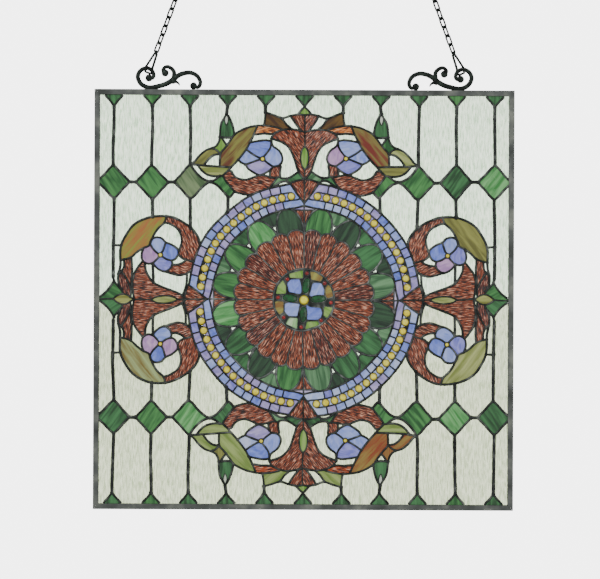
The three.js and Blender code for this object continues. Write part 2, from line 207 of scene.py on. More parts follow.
seam((36, 203.5), (37.3, 195), (37, 186), (33, 183.5), (23, 184.6), (10, 192.8))
seam((51.5, 198.5), (52, 192), (52, 186))
seam((47, 170.5), (40, 175.4), (33, 178.9), (26, 178.6), (21.5, 176))
seam((27.5, 184), (26, 178.6))
seam((144.8, 177.3), (138.5, 176.6), (131.5, 173), (123.5, 164.6), (117, 156.5), (114, 154),
     (110.5, 156.5), (105, 163), width=diamond_width)
seam((173, 152), (166.9, 155.8), (159.5, 164.6), (152, 172), (144.8, 177.3), (141.3, 178.8),
     width=diamond_width)

# Flower of the top ornament, four petals round a bead.
top_bead = (63.4, 213.1)
seam((82.5, 237.8), (70, 240), (58.5, 241), (50.5, 239.3))
seam((50.5, 239.3), (48.3, 232), (39.5, 225), (34.8, 216), (35, 208.5), (39.5, 203), (47.8, 201.2))
seam((47.8, 201.2), (52, 196.4), (60, 191.2), (67.5, 188.6), (76.5, 193), (84.5, 199), (88.2, 205))
seam((88.2, 205), (95.5, 208.5), (99.5, 212.3))
seam((50.5, 239.3), (52, 230), (56.5, 223), (62, 216.5))
seam((87.4, 227.8), (79, 221.5), (70.5, 216.3), (66.5, 214.5))
seam((88.2, 205), (79, 208.4), (72, 211), (67, 212.5))
seam((47.8, 201.2), (54, 205.3), (58.5, 209), (60.5, 211))
quarter_seams.append([circle(top_bead, bead_radius), fine_width])

# Side ornament, outer lines: scroll, edge pieces, lenses on the axis.
scroll_width = 4.4
lens_width = 3.2
seam((288, 32), (286.6, 26), (281.5, 19.5), (275.2, 12.5))
seam((275.2, 12.5), (280, 23.4), (280.3, 36), (278, 46), (277.2, 54), (277.4, 74), (274.7, 86),
     (268.5, 98.5), (261, 110), (251, 118), (240.5, 122.7), (230, 125.6), (216.2, 126.4), (203.2, 125),
     (190.5, 120.5), (179, 114), (170.5, 107.5), (163.6, 99.8), (158.4, 90.6), (157.2, 80),
     width=scroll_width)
seam((288, 81), (276, 80.5))
seam((287, 27), (291.5, 19), (299, 10.2), (306, 4.6), (glass_edge, 0))
seam((glass_edge, 0), (288.4, 0), width=thin_width)
seam((288.4, 0), (281, 5.6), (273.5, 7.6), (266, 5.6), (258.6, 0), width=lens_width)
seam((275.2, 12.5), (274, 7.6), width=thin_width)
seam((258.6, 0), (232, 0), width=thin_width)
seam((232, 0), (224, 4.2), (211, 5.9), (199, 4), (190.5, 0), width=lens_width)
seam((190.5, 0), (180, 0), width=thin_width)

# Side ornament, inner lines: leaf, red crescent and tail, body, ribbons.
seam((209, 126), (212.2, 116.6), (221.5, 108), (227.8, 98), (230.6, 90.5), (234, 82), (243, 77.6),
     (252, 71), (259.8, 63.5), (268, 59.6), (277.3, 57.5))
seam((212.2, 116.6), (204.8, 115.2), (197, 111.2), (190, 105.7), (185.3, 96.8), (184.4, 86.7),
     (187.6, 75.5), (189.8, 67.5), (184.5, 61), (176, 57.8), (166.8, 55.6))
seam((178, 58.4), (184, 54), (192, 51.3), (202.6, 51))
seam((171.5, 43), (178.5, 38), (189.7, 35.6), (199, 37.5), (210.8, 41.6))
seam((178, 38.4), (178.6, 25), (181.5, 13), (185, 5))
seam((228.5, 53.5), (228.3, 24.8), width=scroll_width)
seam((244, 56.5), (250.6, 48), (256, 40), (259.2, 29.7), (260, 20.9), (259, 10.8), (257.4, 0))
seam((240.5, 54.5), (239, 42.4), (234, 32.3), (227.6, 24.7), (216.2, 19.4), (203.6, 14.4), (190.9, 9.3),
     (184, 5), (179, 0))
seam((260.5, 63), (260.2, 52), (260, 42), (261.6, 29), (261.8, 18), (262.8, 4))
seam((271.5, 58.8), (272, 48), (275.5, 41), (280.3, 37))
seam((275.5, 41), (267, 27), (261.8, 14))

# Flower of the side ornament.
side_bead = (216.8, 67)
seam((233.5, 83.3), (231, 91), (224, 94.8), (215, 93), (209, 86.8), (199.5, 82.4), (190.6, 75),
     (189.8, 67.5))
seam((189.8, 67.5), (195, 60), (200.8, 57.8))
seam((200.8, 57.8), (199.6, 53), (202.6, 46), (211, 41.5), (220.5, 45.3), (226.8, 52), (227.6, 54.8))
seam((227.6, 54.8), (235.5, 53.3), (243.2, 57.5), (245, 68), (242, 77.8))
seam((209, 86.8), (210.8, 80), (213.3, 73), (215.5, 70.4))
seam((232.4, 84.5), (228.5, 77.5), (223, 71.5), (219.8, 69))
seam((227.6, 54.8), (222, 60.5), (219, 64.2))
seam((200.8, 57.8), (208, 60.2), (213.8, 64.2))
quarter_seams.append([circle(side_bead, bead_radius), fine_width])

# Medallion: arrowheads at the poles, tile rings, gold nuggets, wreath of leaves, rosette of petals.
tile_width = 2.8
petal_width = 3.4
core_width = 3.6
ring_inner_width = 3.8
ring_outer_width = 4.0
for turned in (False, True):
    def pole(*points, width=seam_width, swap=turned):
        seam(*[(z, x) if swap else (x, z) for x, z in points], width=width)

    pole((0, 181.3), (10, 180), (21.8, 176.2))
    pole((21.8, 176.2), (11, 160.5), (0, 146))
    pole((0, 181), (0, petal_notch), width=thin_width)
    pole((0, 135.6), (16.8, 136.2), width=thin_width)

quarter_seams.append([arc(ring_outer, 7.1, 82.9), ring_outer_width])
quarter_seams.append([arc(tile_line_outer, 6.5, 83.5), thin_width])
quarter_seams.append([arc(tile_line_inner, 3, 87), thin_width])
ring = [polar(ring_inner + 3 * max(0, 1 - min(a, 90 - a) / 8) ** 2, a) for a in range(0, 91)]
quarter_seams.append([ring, ring_inner_width])

nugget_angles = [7 + 76 / 15 * i for i in range(16)]
for inner, outer in ((tile_line_outer, ring_outer), (ring_inner, tile_line_inner)):
    for angle in nugget_angles[1:-1]:
        seam(polar(inner, angle), polar(outer, angle), width=tile_width)
for angle in nugget_angles:
    quarter_seams.append([circle(polar(ring_middle, angle), nugget_radius), fine_width])

leaf_angle = 360 / leaf_count
leaf_side = ((139.5, 2.3), (136.8, 4.3), (131.5, 6.4), (125, 8.1), (119, 9.3), (112, 10.3), (103, 10.8))
for number in range(leaf_count // 4):
    centre = (number + 0.5) * leaf_angle
    for side in (-1, 1):
        seam(*[polar(radius, centre + side * spread) for radius, spread in leaf_side])
seam(polar(112, 45), polar(petal_notch, 45), width=thin_width)
for number in range(1, leaf_count // 4):
    centre = number * leaf_angle
    seam(polar(121.5, centre - 2.2), polar(119.5, centre), polar(121.5, centre + 2.2), width=tile_width)

petal_angle = 360 / petal_count
petals = []
for number in range(petal_count // 4):
    centre = (number + 0.5) * petal_angle
    for i in range(9):
        share = i / 4 - 1
        radius = petal_notch + (petal_tip - petal_notch) * (1 - abs(share) ** 2.6)
        petals.append(polar(radius, centre + share * petal_angle / 2))
quarter_seams.append([petals, petal_width])
for number in range(petal_count // 4 + 1):
    seam(polar(rosette_core, number * petal_angle), polar(petal_notch, number * petal_angle),
         width=tile_width)
quarter_seams.append([arc(rosette_core, 0, 90), core_width])


def nearest_on(line, point):
    """The closest place on a line: distance, segment and foot."""
    best = (1e9, 0, point)
    for i, (a, b) in enumerate(zip(line, line[1:])):
        along = b - a
        t = max(0, min(1, (point - a).dot(along) / max(along.length_squared, 1e-9)))
        foot = a + along * t
        distance = (point - foot).length
        if distance < best[0]:
            best = (distance, i, foot)
    return best


join_reach = 4.5
join_touch = 0.02
corner_reach = 0.4
axis_reach = 0.8
for _ in range(2):
    for own, (line, width) in enumerate(quarter_seams):
        for end in (0, -1):
            point = line[end]
            others = [
                nearest_on(other, point) + (number,)
                for number, (other, _) in enumerate(quarter_seams)
                if number != own
            ]
            distance, i, foot, number = min(others, key=lambda found: found[0])
            if distance < join_reach:
                other = quarter_seams[number][0]
                corner = min((other[i], other[i + 1]), key=lambda p: (p - foot).length)
                if (corner - foot).length < corner_reach:
                    foot = corner.copy()
                elif distance > join_touch or (corner - foot).length > join_touch:
                    other.insert(i + 1, foot.copy())
                line[end] = foot
            for axis in (0, 1):
                if abs(line[end][axis]) < axis_reach:
                    line[end][axis] = 0

# Centre, hand-set and a little turned: jewel sockets, four petals and eight ring pieces.
centre_seams = []
centre_middle = Vector((1.0, -0.6))
jewel_turn = 4.7
jewel_ring = 40
jewel_radius = 3.6
marquise_ring = 21.4
marquise_length = 24
marquise_width = 11.4
marquise_fullness = 0.7
marquise_turns = (7, 84, 182, 275.5)
centre_jewel_radius = 8.0
centre_petals = (
    ((-24.6, 23.5), (-20, 29), (-7, 29.4), (-4.8, 20.6), (-3.6, 11.5), (-5.6, 8.2), (-22.2, 11.2)),
    ((13.4, 23.6), (16.3, 25.2), (26, 24.8), (29.6, 17.5), (30.2, 11.3), (29.4, 6.5), (16.3, 5),
     (9.4, 6.4)),
    ((-27.8, -6.6), (-21.3, -5.4), (-5.6, -6.9), (-6.9, -11.3), (-9.2, -24), (-22, -23.6), (-27.8, -17.5)),
    ((5.2, -7.5), (11.3, -11), (25.4, -12.2), (27.8, -20), (25.2, -27.5), (20, -29.6), (6.6, -29)),
)
ring_pieces = (
    ((-21.5, 38.4), (-2, 44.2), (-2.2, 32), (-20.4, 32)),
    ((9.6, 42.2), (20, 40.4), (28.4, 34.6), (25, 28), (11.3, 30.4)),
    ((36.6, 23.4), (41.8, 17), (44, 6.3), (36.3, 3.4), (33, 6.9), (32.8, 17.5)),
    ((31.6, -10), (43.8, -11.9), (41.6, -20), (36.3, -28), (30.4, -23.4)),
    ((6.4, -32.6), (21.4, -32.4), (24.2, -39.4), (4, -43.8)),
    ((-20.4, -27.2), (-8.4, -27.2), (-9, -42.6), (-25.6, -35.4)),
    ((-43.2, -3.4), (-30.6, -3.6), (-30.6, -18.1), (-36.2, -22.2), (-41.8, -13.8)),
    ((-31.6, 28.4), (-27.4, 18.8), (-27.2, 8.8), (-42, 8.6), (-38.6, 20.2)),
)


def turned_by(point, angle):
    return Matrix.Rotation(-math.radians(angle), 2) @ Vector(point)


def marquise(sides=20):
    points = []
    for i in range(sides):
        angle = 2 * math.pi * i / sides
        bulge = math.copysign(abs(math.sin(angle)) ** marquise_fullness, math.sin(angle))
        across = marquise_width / 2 * bulge
        points.append(Vector((across, marquise_ring + marquise_length / 2 * math.cos(angle))))
    return points


def middle_of(drawing):
    return sum((Vector(p) for p in drawing), Vector((0, 0))) / len(drawing)


def rounded(drawing, bend=1.5, growth=1.3):
    """A closed outline, drawn out a little from its middle, with its corners cut back."""
    middle = middle_of(drawing)
    points = [Vector(p) + (Vector(p) - middle).normalized() * growth for p in drawing]
    line = []
    for before, here, after in zip(points[-1:] + points[:-1], points, points[1:] + points[:1]):
        for other in (before, after):
            line.append(here + (other - here).normalized() * bend)
    return line + line[:1]


for turn in marquise_turns:
    outline = [centre_middle + turned_by(p, turn) for p in marquise()]
    centre_seams.append([outline + outline[:1], fine_width])
for drawing in centre_petals + ring_pieces:
    centre_seams.append([rounded(drawing), fine_width])
jewel_places = [centre_middle + polar(jewel_ring, jewel_turn + 45 * eighth) for eighth in range(8)]
for spot in jewel_places:
    centre_seams.append([circle(spot, jewel_radius, sides=12), fine_width])
centre_seams.append([circle(centre_middle, centre_jewel_radius, sides=20), fine_width])

wander = 2.2
wander_length = 70
wander_start = Vector((3.1, 7.7, 1.3))
steady_edge = 6
steady_fade = 25
noise.seed_set(5)  # without it the vector noise takes its start from the clock


def hand_cut(point):
    """Shifts a drawn point by a smooth small amount, dying out at the came."""
    room = min(half_panel - abs(point.x), half_panel - abs(point.y))
    fade = max(0, min(1, (room - steady_edge) / steady_fade))
    shift = noise.noise_vector(Vector((point.x, point.y, 0)) / wander_length + wander_start)
    return Vector((point.x + shift.x * wander * fade, point.y + shift.y * wander * fade))


cartoon = []
for across in (-1, 1):
    for up in (-1, 1):
        for line, width in quarter_seams:
            cartoon.append([[hand_cut(Vector((p.x * across, p.y * up))) for p in line], width])
cartoon += [[[hand_cut(p) for p in line], width] for line, width in centre_seams]
sheet_corners = ((-1, -1), (1, -1), (1, 1), (-1, 1), (-1, -1))
edge_line = [Vector((x * glass_edge, z * glass_edge)) for x, z in sheet_corners]
cartoon.append([edge_line, 0])


def meet(lines, loose=()):
    """Crosses all the lines with each other: corners, triangles and the lines' edges with their widths."""
    points = []
    edges = []
    widths = []
    for line, width in lines:
        first = len(points)
        points += line
        edges += [(first + i, first + i + 1) for i in range(len(line) - 1)]
        widths += [width] * (len(line) - 1)
    found = delaunay_2d_cdt(points + list(loose), edges, [], 0, 0.01)
    corners, all_edges, triangles, _, sources, _ = found
    drawn = {}
    for (a, b), origin in zip(all_edges, sources):
        if origin:
            drawn[(min(a, b), max(a, b))] = max(widths[i] for i in origin)
    return corners, [tuple(t) for t in triangles], drawn


def split_regions(triangles, barrier):
    """Numbers the triangles by the region that the drawn lines close round them."""
    sharing = {}
    for number, triangle in enumerate(triangles):
        for a, b in zip(triangle, triangle[1:] + triangle[:1]):
            sharing.setdefault((min(a, b), max(a, b)), []).append(number)
    region_of = [None] * len(triangles)
    regions = 0
    for start in range(len(triangles)):
        if region_of[start] is not None:
            continue
        region_of[start] = regions
        waiting = [start]
        while waiting:
            triangle = triangles[waiting.pop()]
            for a, b in zip(triangle, triangle[1:] + triangle[:1]):
                edge = (min(a, b), max(a, b))
                if edge in barrier:
                    continue
                for neighbour in sharing[edge]:
                    if region_of[neighbour] is None:
                        region_of[neighbour] = regions
                        waiting.append(neighbour)
        regions += 1
    return region_of, regions


corners, triangles, drawn_edges = meet(cartoon)
region_of, region_total = split_regions(triangles, drawn_edges)
floor_plan = BVHTree.FromPolygons([(p.x, p.y, 0) for p in corners], triangles)
region_triangles = [[] for _ in range(region_total)]
for number, region in enumerate(region_of):
    region_triangles[region].append(number)


def region_at(point):
    hit = floor_plan.ray_cast(Vector((point[0], point[1], 1)), Vector((0, 0, -1)))
    return region_of[hit[2]] if hit[2] is not None else None


def region_loops(region):
    """The region's outlines, with its glass on their left."""
    following = {}
    inside = set()
    for number in region_triangles[region]:
        t = triangles[number]
        inside.update(zip(t, t[1:] + t[:1]))
    for a, b in inside:
        if (b, a) not in inside:
            following.setdefault(a, []).append(b)
    loops = []
    while following:
        start = min(following)
        loop = []
        here = start
        while here in following:
            loop.append(here)
            options = following[here]
            there = options.pop()
            if not options:
                del following[here]
            here = there
        loops.append([corners[i] for i in loop])
    return loops


def region_area(region):
    total = 0
    for number in region_triangles[region]:
        a, b, c = (corners[i] for i in triangles[number])
        total += abs((b - a).cross(c - a)) / 2
    return total


# Solder lines: half-round beads of tin-lead solder run over the copper foil on both faces, darkened with
# patina. Every seam between two pieces of glass has one, lumpy where several meet.

def set_inputs(tree, node, inputs):
    """Sets a node's inputs, and links any whose value is another node's socket."""
    for name, value in inputs.items():
        if isinstance(value, bpy.types.NodeSocket):
            tree.links.new(value, node.inputs[name])
        else:
            node.inputs[name].default_value = value


def add_node(tree, kind, inputs=None, **settings):
    """Adds one node with its settings, values and links."""
    node = tree.nodes.new(kind)
    for name, value in settings.items():
        setattr(node, name, value)
    set_inputs(tree, node, inputs or {})
    return node


def linear(hex_colour):
    """An sRGB hex colour as linear RGBA."""
    parts = [int(hex_colour[i:i + 2], 16) / 255 for i in (1, 3, 5)]
    return tuple(c / 12.92 if c <= 0.04045 else ((c + 0.055) / 1.055) ** 2.4 for c in parts) + (1,)


def new_material(name):
    material = bpy.data.materials.new(name)
    material.use_nodes = True
    tree = material.node_tree
    tree.nodes.clear()
    shader = add_node(tree, "ShaderNodeBsdfPrincipled")
    add_node(tree, "ShaderNodeOutputMaterial", {"Surface": shader.outputs["BSDF"]})
    return material, tree, shader


def ramp(tree, factor, stops):
    """A colour ramp through the given places and hex colours."""
    node = add_node(tree, "ShaderNodeValToRGB", {"Fac": factor})
    band = node.color_ramp
    while len(band.elements) < len(stops):
        band.elements.new(0.5)
    for element, (place, colour) in zip(band.elements, stops):
        element.position = place
        element.color = linear(colour)
    return node.outputs["Color"]


def object_metres(tree):
    return add_node(tree, "ShaderNodeTexCoord").outputs["Object"]


def patinated_solder(name, dark, middle, bright):
    # Tin-lead solder under black patina: dark grey metal, rubbed lighter in patches, slightly pitted.
    material, tree, shader = new_material(name)
    place = object_metres(tree)
    cloud = add_node(tree, "ShaderNodeTexNoise", {"Vector": place, "Scale": 1 / 0.011, "Detail": 5})
    colour = ramp(tree, cloud.outputs["Fac"], ((0.3, dark), (0.52, middle), (0.74, bright)))
    pits = add_node(tree, "ShaderNodeTexNoise", {"Vector": place, "Scale": 1 / 0.0022, "Detail": 3})
    bump = add_node(tree, "ShaderNodeBump",
                    {"Height": pits.outputs["Fac"], "Strength": 0.35, "Distance": 0.0006})
    rough = add_node(tree, "ShaderNodeMapRange",
                     {"Value": cloud.outputs["Fac"], "To Min": 0.30, "To Max": 0.52})
    set_inputs(tree, shader, {
        "Base Color": colour,
        "Normal": bump.outputs["Normal"],
        "Roughness": rough.outputs["Result"],
        "Metallic": 0.75,
    })
    return material


def shape_tree(name, sizes, seeds=()):
    """A geometry tree with named inputs for its sizes and seeds, and those inputs' sockets."""
    tree = bpy.data.node_groups.new(name, "GeometryNodeTree")
    face = tree.interface
    face.new_socket("Geometry", in_out="INPUT", socket_type="NodeSocketGeometry")
    for size in sizes:
        face.new_socket(size, in_out="INPUT", socket_type="NodeSocketFloat")
    for seed in seeds:
        face.new_socket(seed, in_out="INPUT", socket_type="NodeSocketInt")
    face.new_socket("Geometry", in_out="OUTPUT", socket_type="NodeSocketGeometry")
    return tree, add_node(tree, "NodeGroupInput").outputs


def close_tree(tree, shape, material):
    """Ends a geometry tree with real mesh, smooth faces and one material."""
    solid = add_node(tree, "GeometryNodeRealizeInstances", {"Geometry": shape})
    smooth = add_node(tree, "GeometryNodeSetShadeSmooth", {"Geometry": solid.outputs[0]})
    dressed = add_node(tree, "GeometryNodeSetMaterial",
                       {"Geometry": smooth.outputs[0], "Material": material})
    add_node(tree, "NodeGroupOutput", {0: dressed.outputs[0]})
    return tree


def bead_tree(material):
    """Geometry nodes that run a round bead along loose edges and drop a blob where seams meet."""
    tree, given = shape_tree("solder_bead", ("Half depth", "Unevenness", "Blob swell"), ("Seed",))
    width = add_node(tree, "GeometryNodeInputNamedAttribute", {"Name": "solder_width"}, data_type="FLOAT")
    lumps = add_node(tree, "ShaderNodeTexNoise", {"Scale": 1 / 0.009, "Detail": 2})
    swing = add_node(tree, "ShaderNodeMath", {0: lumps.outputs["Fac"], 1: 0.5}, operation="SUBTRACT")
    swing = add_node(tree, "ShaderNodeMath", {0: swing.outputs[0], 1: given["Unevenness"], 2: 1.0},
                     operation="MULTIPLY_ADD")
    radius = add_node(tree, "ShaderNodeMath", {0: width.outputs["Attribute"], 1: swing.outputs[0]},
                      operation="MULTIPLY")
    radius = add_node(tree, "ShaderNodeMath", {0: radius.outputs[0], 1: 0.5}, operation="MULTIPLY")
    line = add_node(tree, "GeometryNodeMeshToCurve", {"Mesh": given["Geometry"]})
    line = add_node(tree, "GeometryNodeSetCurveNormal", {"Curve": line.outputs[0]}, mode="Z_UP")
    kept = add_node(tree, "GeometryNodeStoreNamedAttribute",
                    {"Geometry": line.outputs[0], "Name": "bead_radius", "Value": radius.outputs[0]},
                    data_type="FLOAT", domain="POINT")
    section = add_node(tree, "GeometryNodeCurvePrimitiveCircle", {"Resolution": 10, "Radius": 1.0})
    tube = add_node(tree, "GeometryNodeCurveToMesh", {
        "Curve": kept.outputs[0], "Profile Curve": section.outputs[0], "Scale": radius.outputs[0],
        "Fill Caps": True,
    })
    stored = add_node(tree, "GeometryNodeInputNamedAttribute", {"Name": "bead_radius"}, data_type="FLOAT")
    deep = add_node(tree, "ShaderNodeMath",
                    {0: given["Half depth"], 1: stored.outputs["Attribute"]}, operation="DIVIDE")
    stretch = add_node(tree, "ShaderNodeCombineXYZ", {"X": 1.0, "Y": 1.0, "Z": deep.outputs[0]})
    here = add_node(tree, "GeometryNodeInputPosition")
    flat = add_node(tree, "ShaderNodeVectorMath", {0: here.outputs[0], 1: stretch.outputs[0]},
                    operation="MULTIPLY")
    tube = add_node(tree, "GeometryNodeSetPosition",
                    {"Geometry": tube.outputs[0], "Position": flat.outputs[0]})

    meeting = add_node(tree, "GeometryNodeInputMeshVertexNeighbors")
    several = add_node(tree, "FunctionNodeCompare", {2: meeting.outputs["Vertex Count"], 3: 2},
                       data_type="INT", operation="GREATER_THAN")
    ball = add_node(tree, "GeometryNodeMeshUVSphere", {"Segments": 10, "Rings": 6, "Radius": 1.0})
    chance = add_node(tree, "FunctionNodeRandomValue", {2: 0.85, 3: 1.12, "Seed": given["Seed"]},
                      data_type="FLOAT")
    girth = add_node(tree, "ShaderNodeMath", {0: radius.outputs[0], 1: chance.outputs[1]},
                     operation="MULTIPLY")
    girth = add_node(tree, "ShaderNodeMath", {0: girth.outputs[0], 1: given["Blob swell"]},
                     operation="MULTIPLY")
    size = add_node(tree, "ShaderNodeCombineXYZ",
                    {"X": girth.outputs[0], "Y": girth.outputs[0], "Z": given["Half depth"]})
    blobs = add_node(tree, "GeometryNodeInstanceOnPoints", {
        "Points": given["Geometry"], "Selection": several.outputs[0], "Instance": ball.outputs["Mesh"],
        "Scale": size.outputs[0],
    })
    both = add_node(tree, "GeometryNodeJoinGeometry")
    tree.links.new(tube.outputs[0], both.inputs[0])
    tree.links.new(blobs.outputs[0], both.inputs[0])
    upright = add_node(tree, "GeometryNodeTransform", {
        "Geometry": both.outputs[0], "Translation": panel_middle, "Rotation": (math.pi / 2, 0, 0),
    })
    return close_tree(tree, upright.outputs[0], material)


def link_object(name, mesh):
    piece = bpy.data.objects.new(name, mesh)
    bpy.context.scene.collection.objects.link(piece)
    return piece


def settle(piece, tree, values):
    """Runs a node tree on a piece, with its inputs set by identifier, and keeps the plain result."""
    modifier = piece.modifiers.new("shape", "NODES")
    modifier.node_group = tree
    for name, value in values.items():
        modifier[tree.interface.items_tree[name].identifier] = value
    result = piece.evaluated_get(bpy.context.evaluated_depsgraph_get())
    mesh = bpy.data.meshes.new_from_object(result)
    piece.modifiers.clear()
    piece.data = mesh


def finish_piece(piece, slot, *nodes):
    """Hangs a piece with the panel and lets it stand for the solids named; its slot is not used."""
    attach(piece, "root")
    if nodes:
        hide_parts(*nodes)


seam_half_depth = 2.9
solder_material = patinated_solder("patinated_solder", "#1b1d1c", "#353937", "#6c706b")
rubbed_material = patinated_solder("rubbed_solder", "#2a2d2c", "#545957", "#8e938e")
solder_bead = bead_tree(solder_material)
rubbed_bead = bead_tree(rubbed_material)


def solder_group(point):
    """Which stretch of the solder net a point belongs to."""
    if point.length < ring_inner - 1:
        return "rosette"
    if point.length < ring_outer + 2:
        return "medallion"
    if abs(point.y) > abs(point.x):
        return "upper" if point.y > 0 else "lower"
    return "left" if point.x < 0 else "right"


came_overlap = 0.4
net = {}
for (a, b), width in drawn_edges.items():
    middle = (corners[a] + corners[b]) / 2
    if width == 0 or max(abs(middle.x), abs(middle.y)) > sight_edge + came_overlap:
        continue
    if (corners[a] - corners[b]).length < join_touch:
        continue
    net.setdefault(solder_group(middle), []).append((a, b, width))
for group, group_edges in net.items():
    used = sorted({i for a, b, _ in group_edges for i in (a, b)})
    number_of = {old: new for new, old in enumerate(used)}
    widths = [0] * len(used)
    for a, b, width in group_edges:
        for i in (number_of[a], number_of[b]):
            widths[i] = max(widths[i], width * millimetre)
    mesh = bpy.data.meshes.new(f"solder_{group}")
    mesh.from_pydata([(corners[i].x * millimetre, corners[i].y * millimetre, 0) for i in used],
                     [(number_of[a], number_of[b]) for a, b, _ in group_edges], [])
    mesh.attributes.new("solder_width", "FLOAT", "POINT").data.foreach_set("value", widths)
    solder = link_object(f"solder_{group}", mesh)
    settle(solder, rubbed_bead if group == "rosette" else solder_bead, {
        "Half depth": seam_half_depth * millimetre, "Unevenness": 0.5, "Blob swell": 1.25, "Seed": 5,
    })
    finish_piece(solder, "solder", "solder_lines")


# Glass pieces: every piece is cut from a sheet about 3 mm thick, edges ground and wrapped in foil. The
# sheets differ in colour, streak and surface, and each piece is turned as the cutter laid it.

glass_half = 1.5
foil_gap = 0.35  # glass to the middle of its seam's web
glass_pieces = {}  # by sheet and stretch: the panes cut from it
tones = {
    "leaf_green": ("#1d5626", "#4f924c"),
    "bright_green": ("#34843a", "#7cc078"),
    "grey_green": ("#35623c", "#6f9f70"),
    "dark_green": ("#1a4522", "#43804a"),
    "black_green": ("#12281a", "#2f5436"),
    "dull_green": ("#44603a", "#7f9468"),
    "light_green": ("#61962a", "#96b863"),
    "olive": ("#66662a", "#96984c"),
    "bright_olive": ("#7d8a3e", "#b4bc76"),
    "amber_olive": ("#a96a34", "#8c9236"),
    "brown_olive": ("#63341a", "#85843c"),
    "red_olive": ("#74281a", "#80783a"),
    "brown": ("#402308", "#6a4e17"),
    "yellow_green": ("#74762c", "#b0b668"),
    "orange": ("#d65c00", "#ee9440"),
    "burnt_orange": ("#9b2d00", "#c15107"),
    "red": ("#64200c", "#a04a24"),
    "deep_red": ("#400f06", "#7c2c14"),
    "blue": ("#5a6fce", "#8b9ff0"),
    "sky": ("#7b92e2", "#b0c0f6"),
    "pale_sky": ("#9db2ec", "#d0dcfa"),
    "periwinkle": ("#6c70ca", "#a2a4ea"),
    "lavender": ("#8c82c4", "#bfb3e2"),
    "mauve": ("#a77cb8", "#d3aed6"),
    "slip": ("#b5a8da", "#eae2f6"),
    "clear_upper": ("#aac8a4", "#e9f7e0"),
    "clear_lower": ("#9fae88", "#d4dcbc"),
    "pale_lens": ("#b9cbb2", "#dfe8d6"),
    "streaked_green": ("#7a6a30", "#a6b87c"),
    "ring_olive": ("#86642e", "#a2a04e"),
    "rust_olive": ("#8c3c18", "#96803a"),
    "fresh_leaf": ("#6f8a38", "#a0b468"),
    "pale_green": ("#7ab86a", "#c4e2b0"),
    "solder": ("#555555", "#777777"),
}


def pane(sheet, place, tone, turn=0.0):
    """Cuts the pane that holds a place from a sheet, with its streaks turned from upright."""
    region = region_at(hand_cut(Vector(place)))
    if region is None or region in taken:
        return
    taken.add(region)
    zone = solder_group(Vector(place)).replace("rosette", "medallion")
    glass_pieces.setdefault((sheet, zone), []).append((region, tone, turn))


taken = set()


def four(sheet, x, z, tone_names, turn=0.0):
    """The same piece in all four quarters: tones top left, top right, bottom left, bottom right."""
    names = tone_names if isinstance(tone_names, tuple) else (tone_names,) * 4
    places = ((-x, z, -turn), (x, z, turn), (-x, -z, turn), (x, -z, -turn))
    done = set()
    for (px, pz, lean), tone in zip(places, names):
        region = region_at(hand_cut(Vector((px, pz))))
        if region not in done:
            done.add(region)
            pane(sheet, (px, pz), tone, lean)


# Green pieces: diamonds, edge triangles, buds and small leaves.
four("streaky", 4, 304, "dark_green")
four("streaky", 58, 304, "dark_green")
four("streaky", 116, 304, "dark_green")
for column in columns[2:]:
    four("streaky", column, 305, "leaf_green" if column == columns[3] else "dark_green")
four("streaky", 288, 178, ("leaf_green", "bright_green", "dark_green", "dark_green"), 35)
four("streaky", 231, 178, ("leaf_green", "dark_green", "leaf_green", "bright_green"), 35)
four("streaky", 174, 178, ("dull_green", "leaf_green", "bright_green", "leaf_green"), 35)
four("streaky", 120, 172, ("leaf_green", "leaf_green", "dark_green", "leaf_green"), -35)
four("streaky", 3, 286, "light_green")
four("streaky", 2.5, 214, "light_green")
four("streaky", 45, 270, ("brown", "brown", "fresh_leaf", "fresh_leaf"), 50)
four("streaky", 106, 229, ("brown_olive", "red_olive", "fresh_leaf", "rust_olive"), -42)
four("streaky", 117, 254, "dark_green")
four("streaky", 117.3, 272, "pale_lens")
four("streaky", 124, 232, ("light_green", "leaf_green", "olive", "rust_olive"))
four("streaky", 149, 219.5, ("olive", "bright_olive", "fresh_leaf", "rust_olive"), -55)
four("streaky", 136, 195, ("bright_olive", "olive", "fresh_leaf", "fresh_leaf"), 90)
four("streaky", 13, 185, ("dark_green", "grey_green", "dark_green", "dark_green"), 50)
four("streaky", 38, 180, ("grey_green", "dark_green", "grey_green", "dark_green"), -50)
four("streaky", 250, 97, ("amber_olive", "olive", "streaked_green", "bright_olive"), -38)
four("streaky", 273, 3, "yellow_green", 90)
four("streaky", 211, 2.5, ("bright_olive", "bright_olive", "olive", "bright_olive"), 90)
four("streaky", 296, 6, ("leaf_green", "leaf_green", "dark_green", "dark_green"), 60)

# Orange and red ripple pieces.
four("ripple", 60, 256.5, ("orange", "orange", "burnt_orange", "burnt_orange"), 80)
four("ripple", 5, 269, "red", 30)
four("ripple", 25, 247, "red", 40)
four("ripple", 45, 193, "red", 20)
four("ripple", 90, 170, "red", 75)
four("ripple", 172, 85, "red", 20)
four("ripple", 188, 45, "red", 70)
four("ripple", 248, 25, "red", 88)
four("ripple", 266, 50, "red", 10)
four("ripple", 275, 27, "deep_red", 10)
four("ripple", 7, 170, "red", 25)
four("ripple", 170, 7, "red", 70)
four("ripple", 4, 128, "red", 15)
four("ripple", 128, 4, "red", 75)

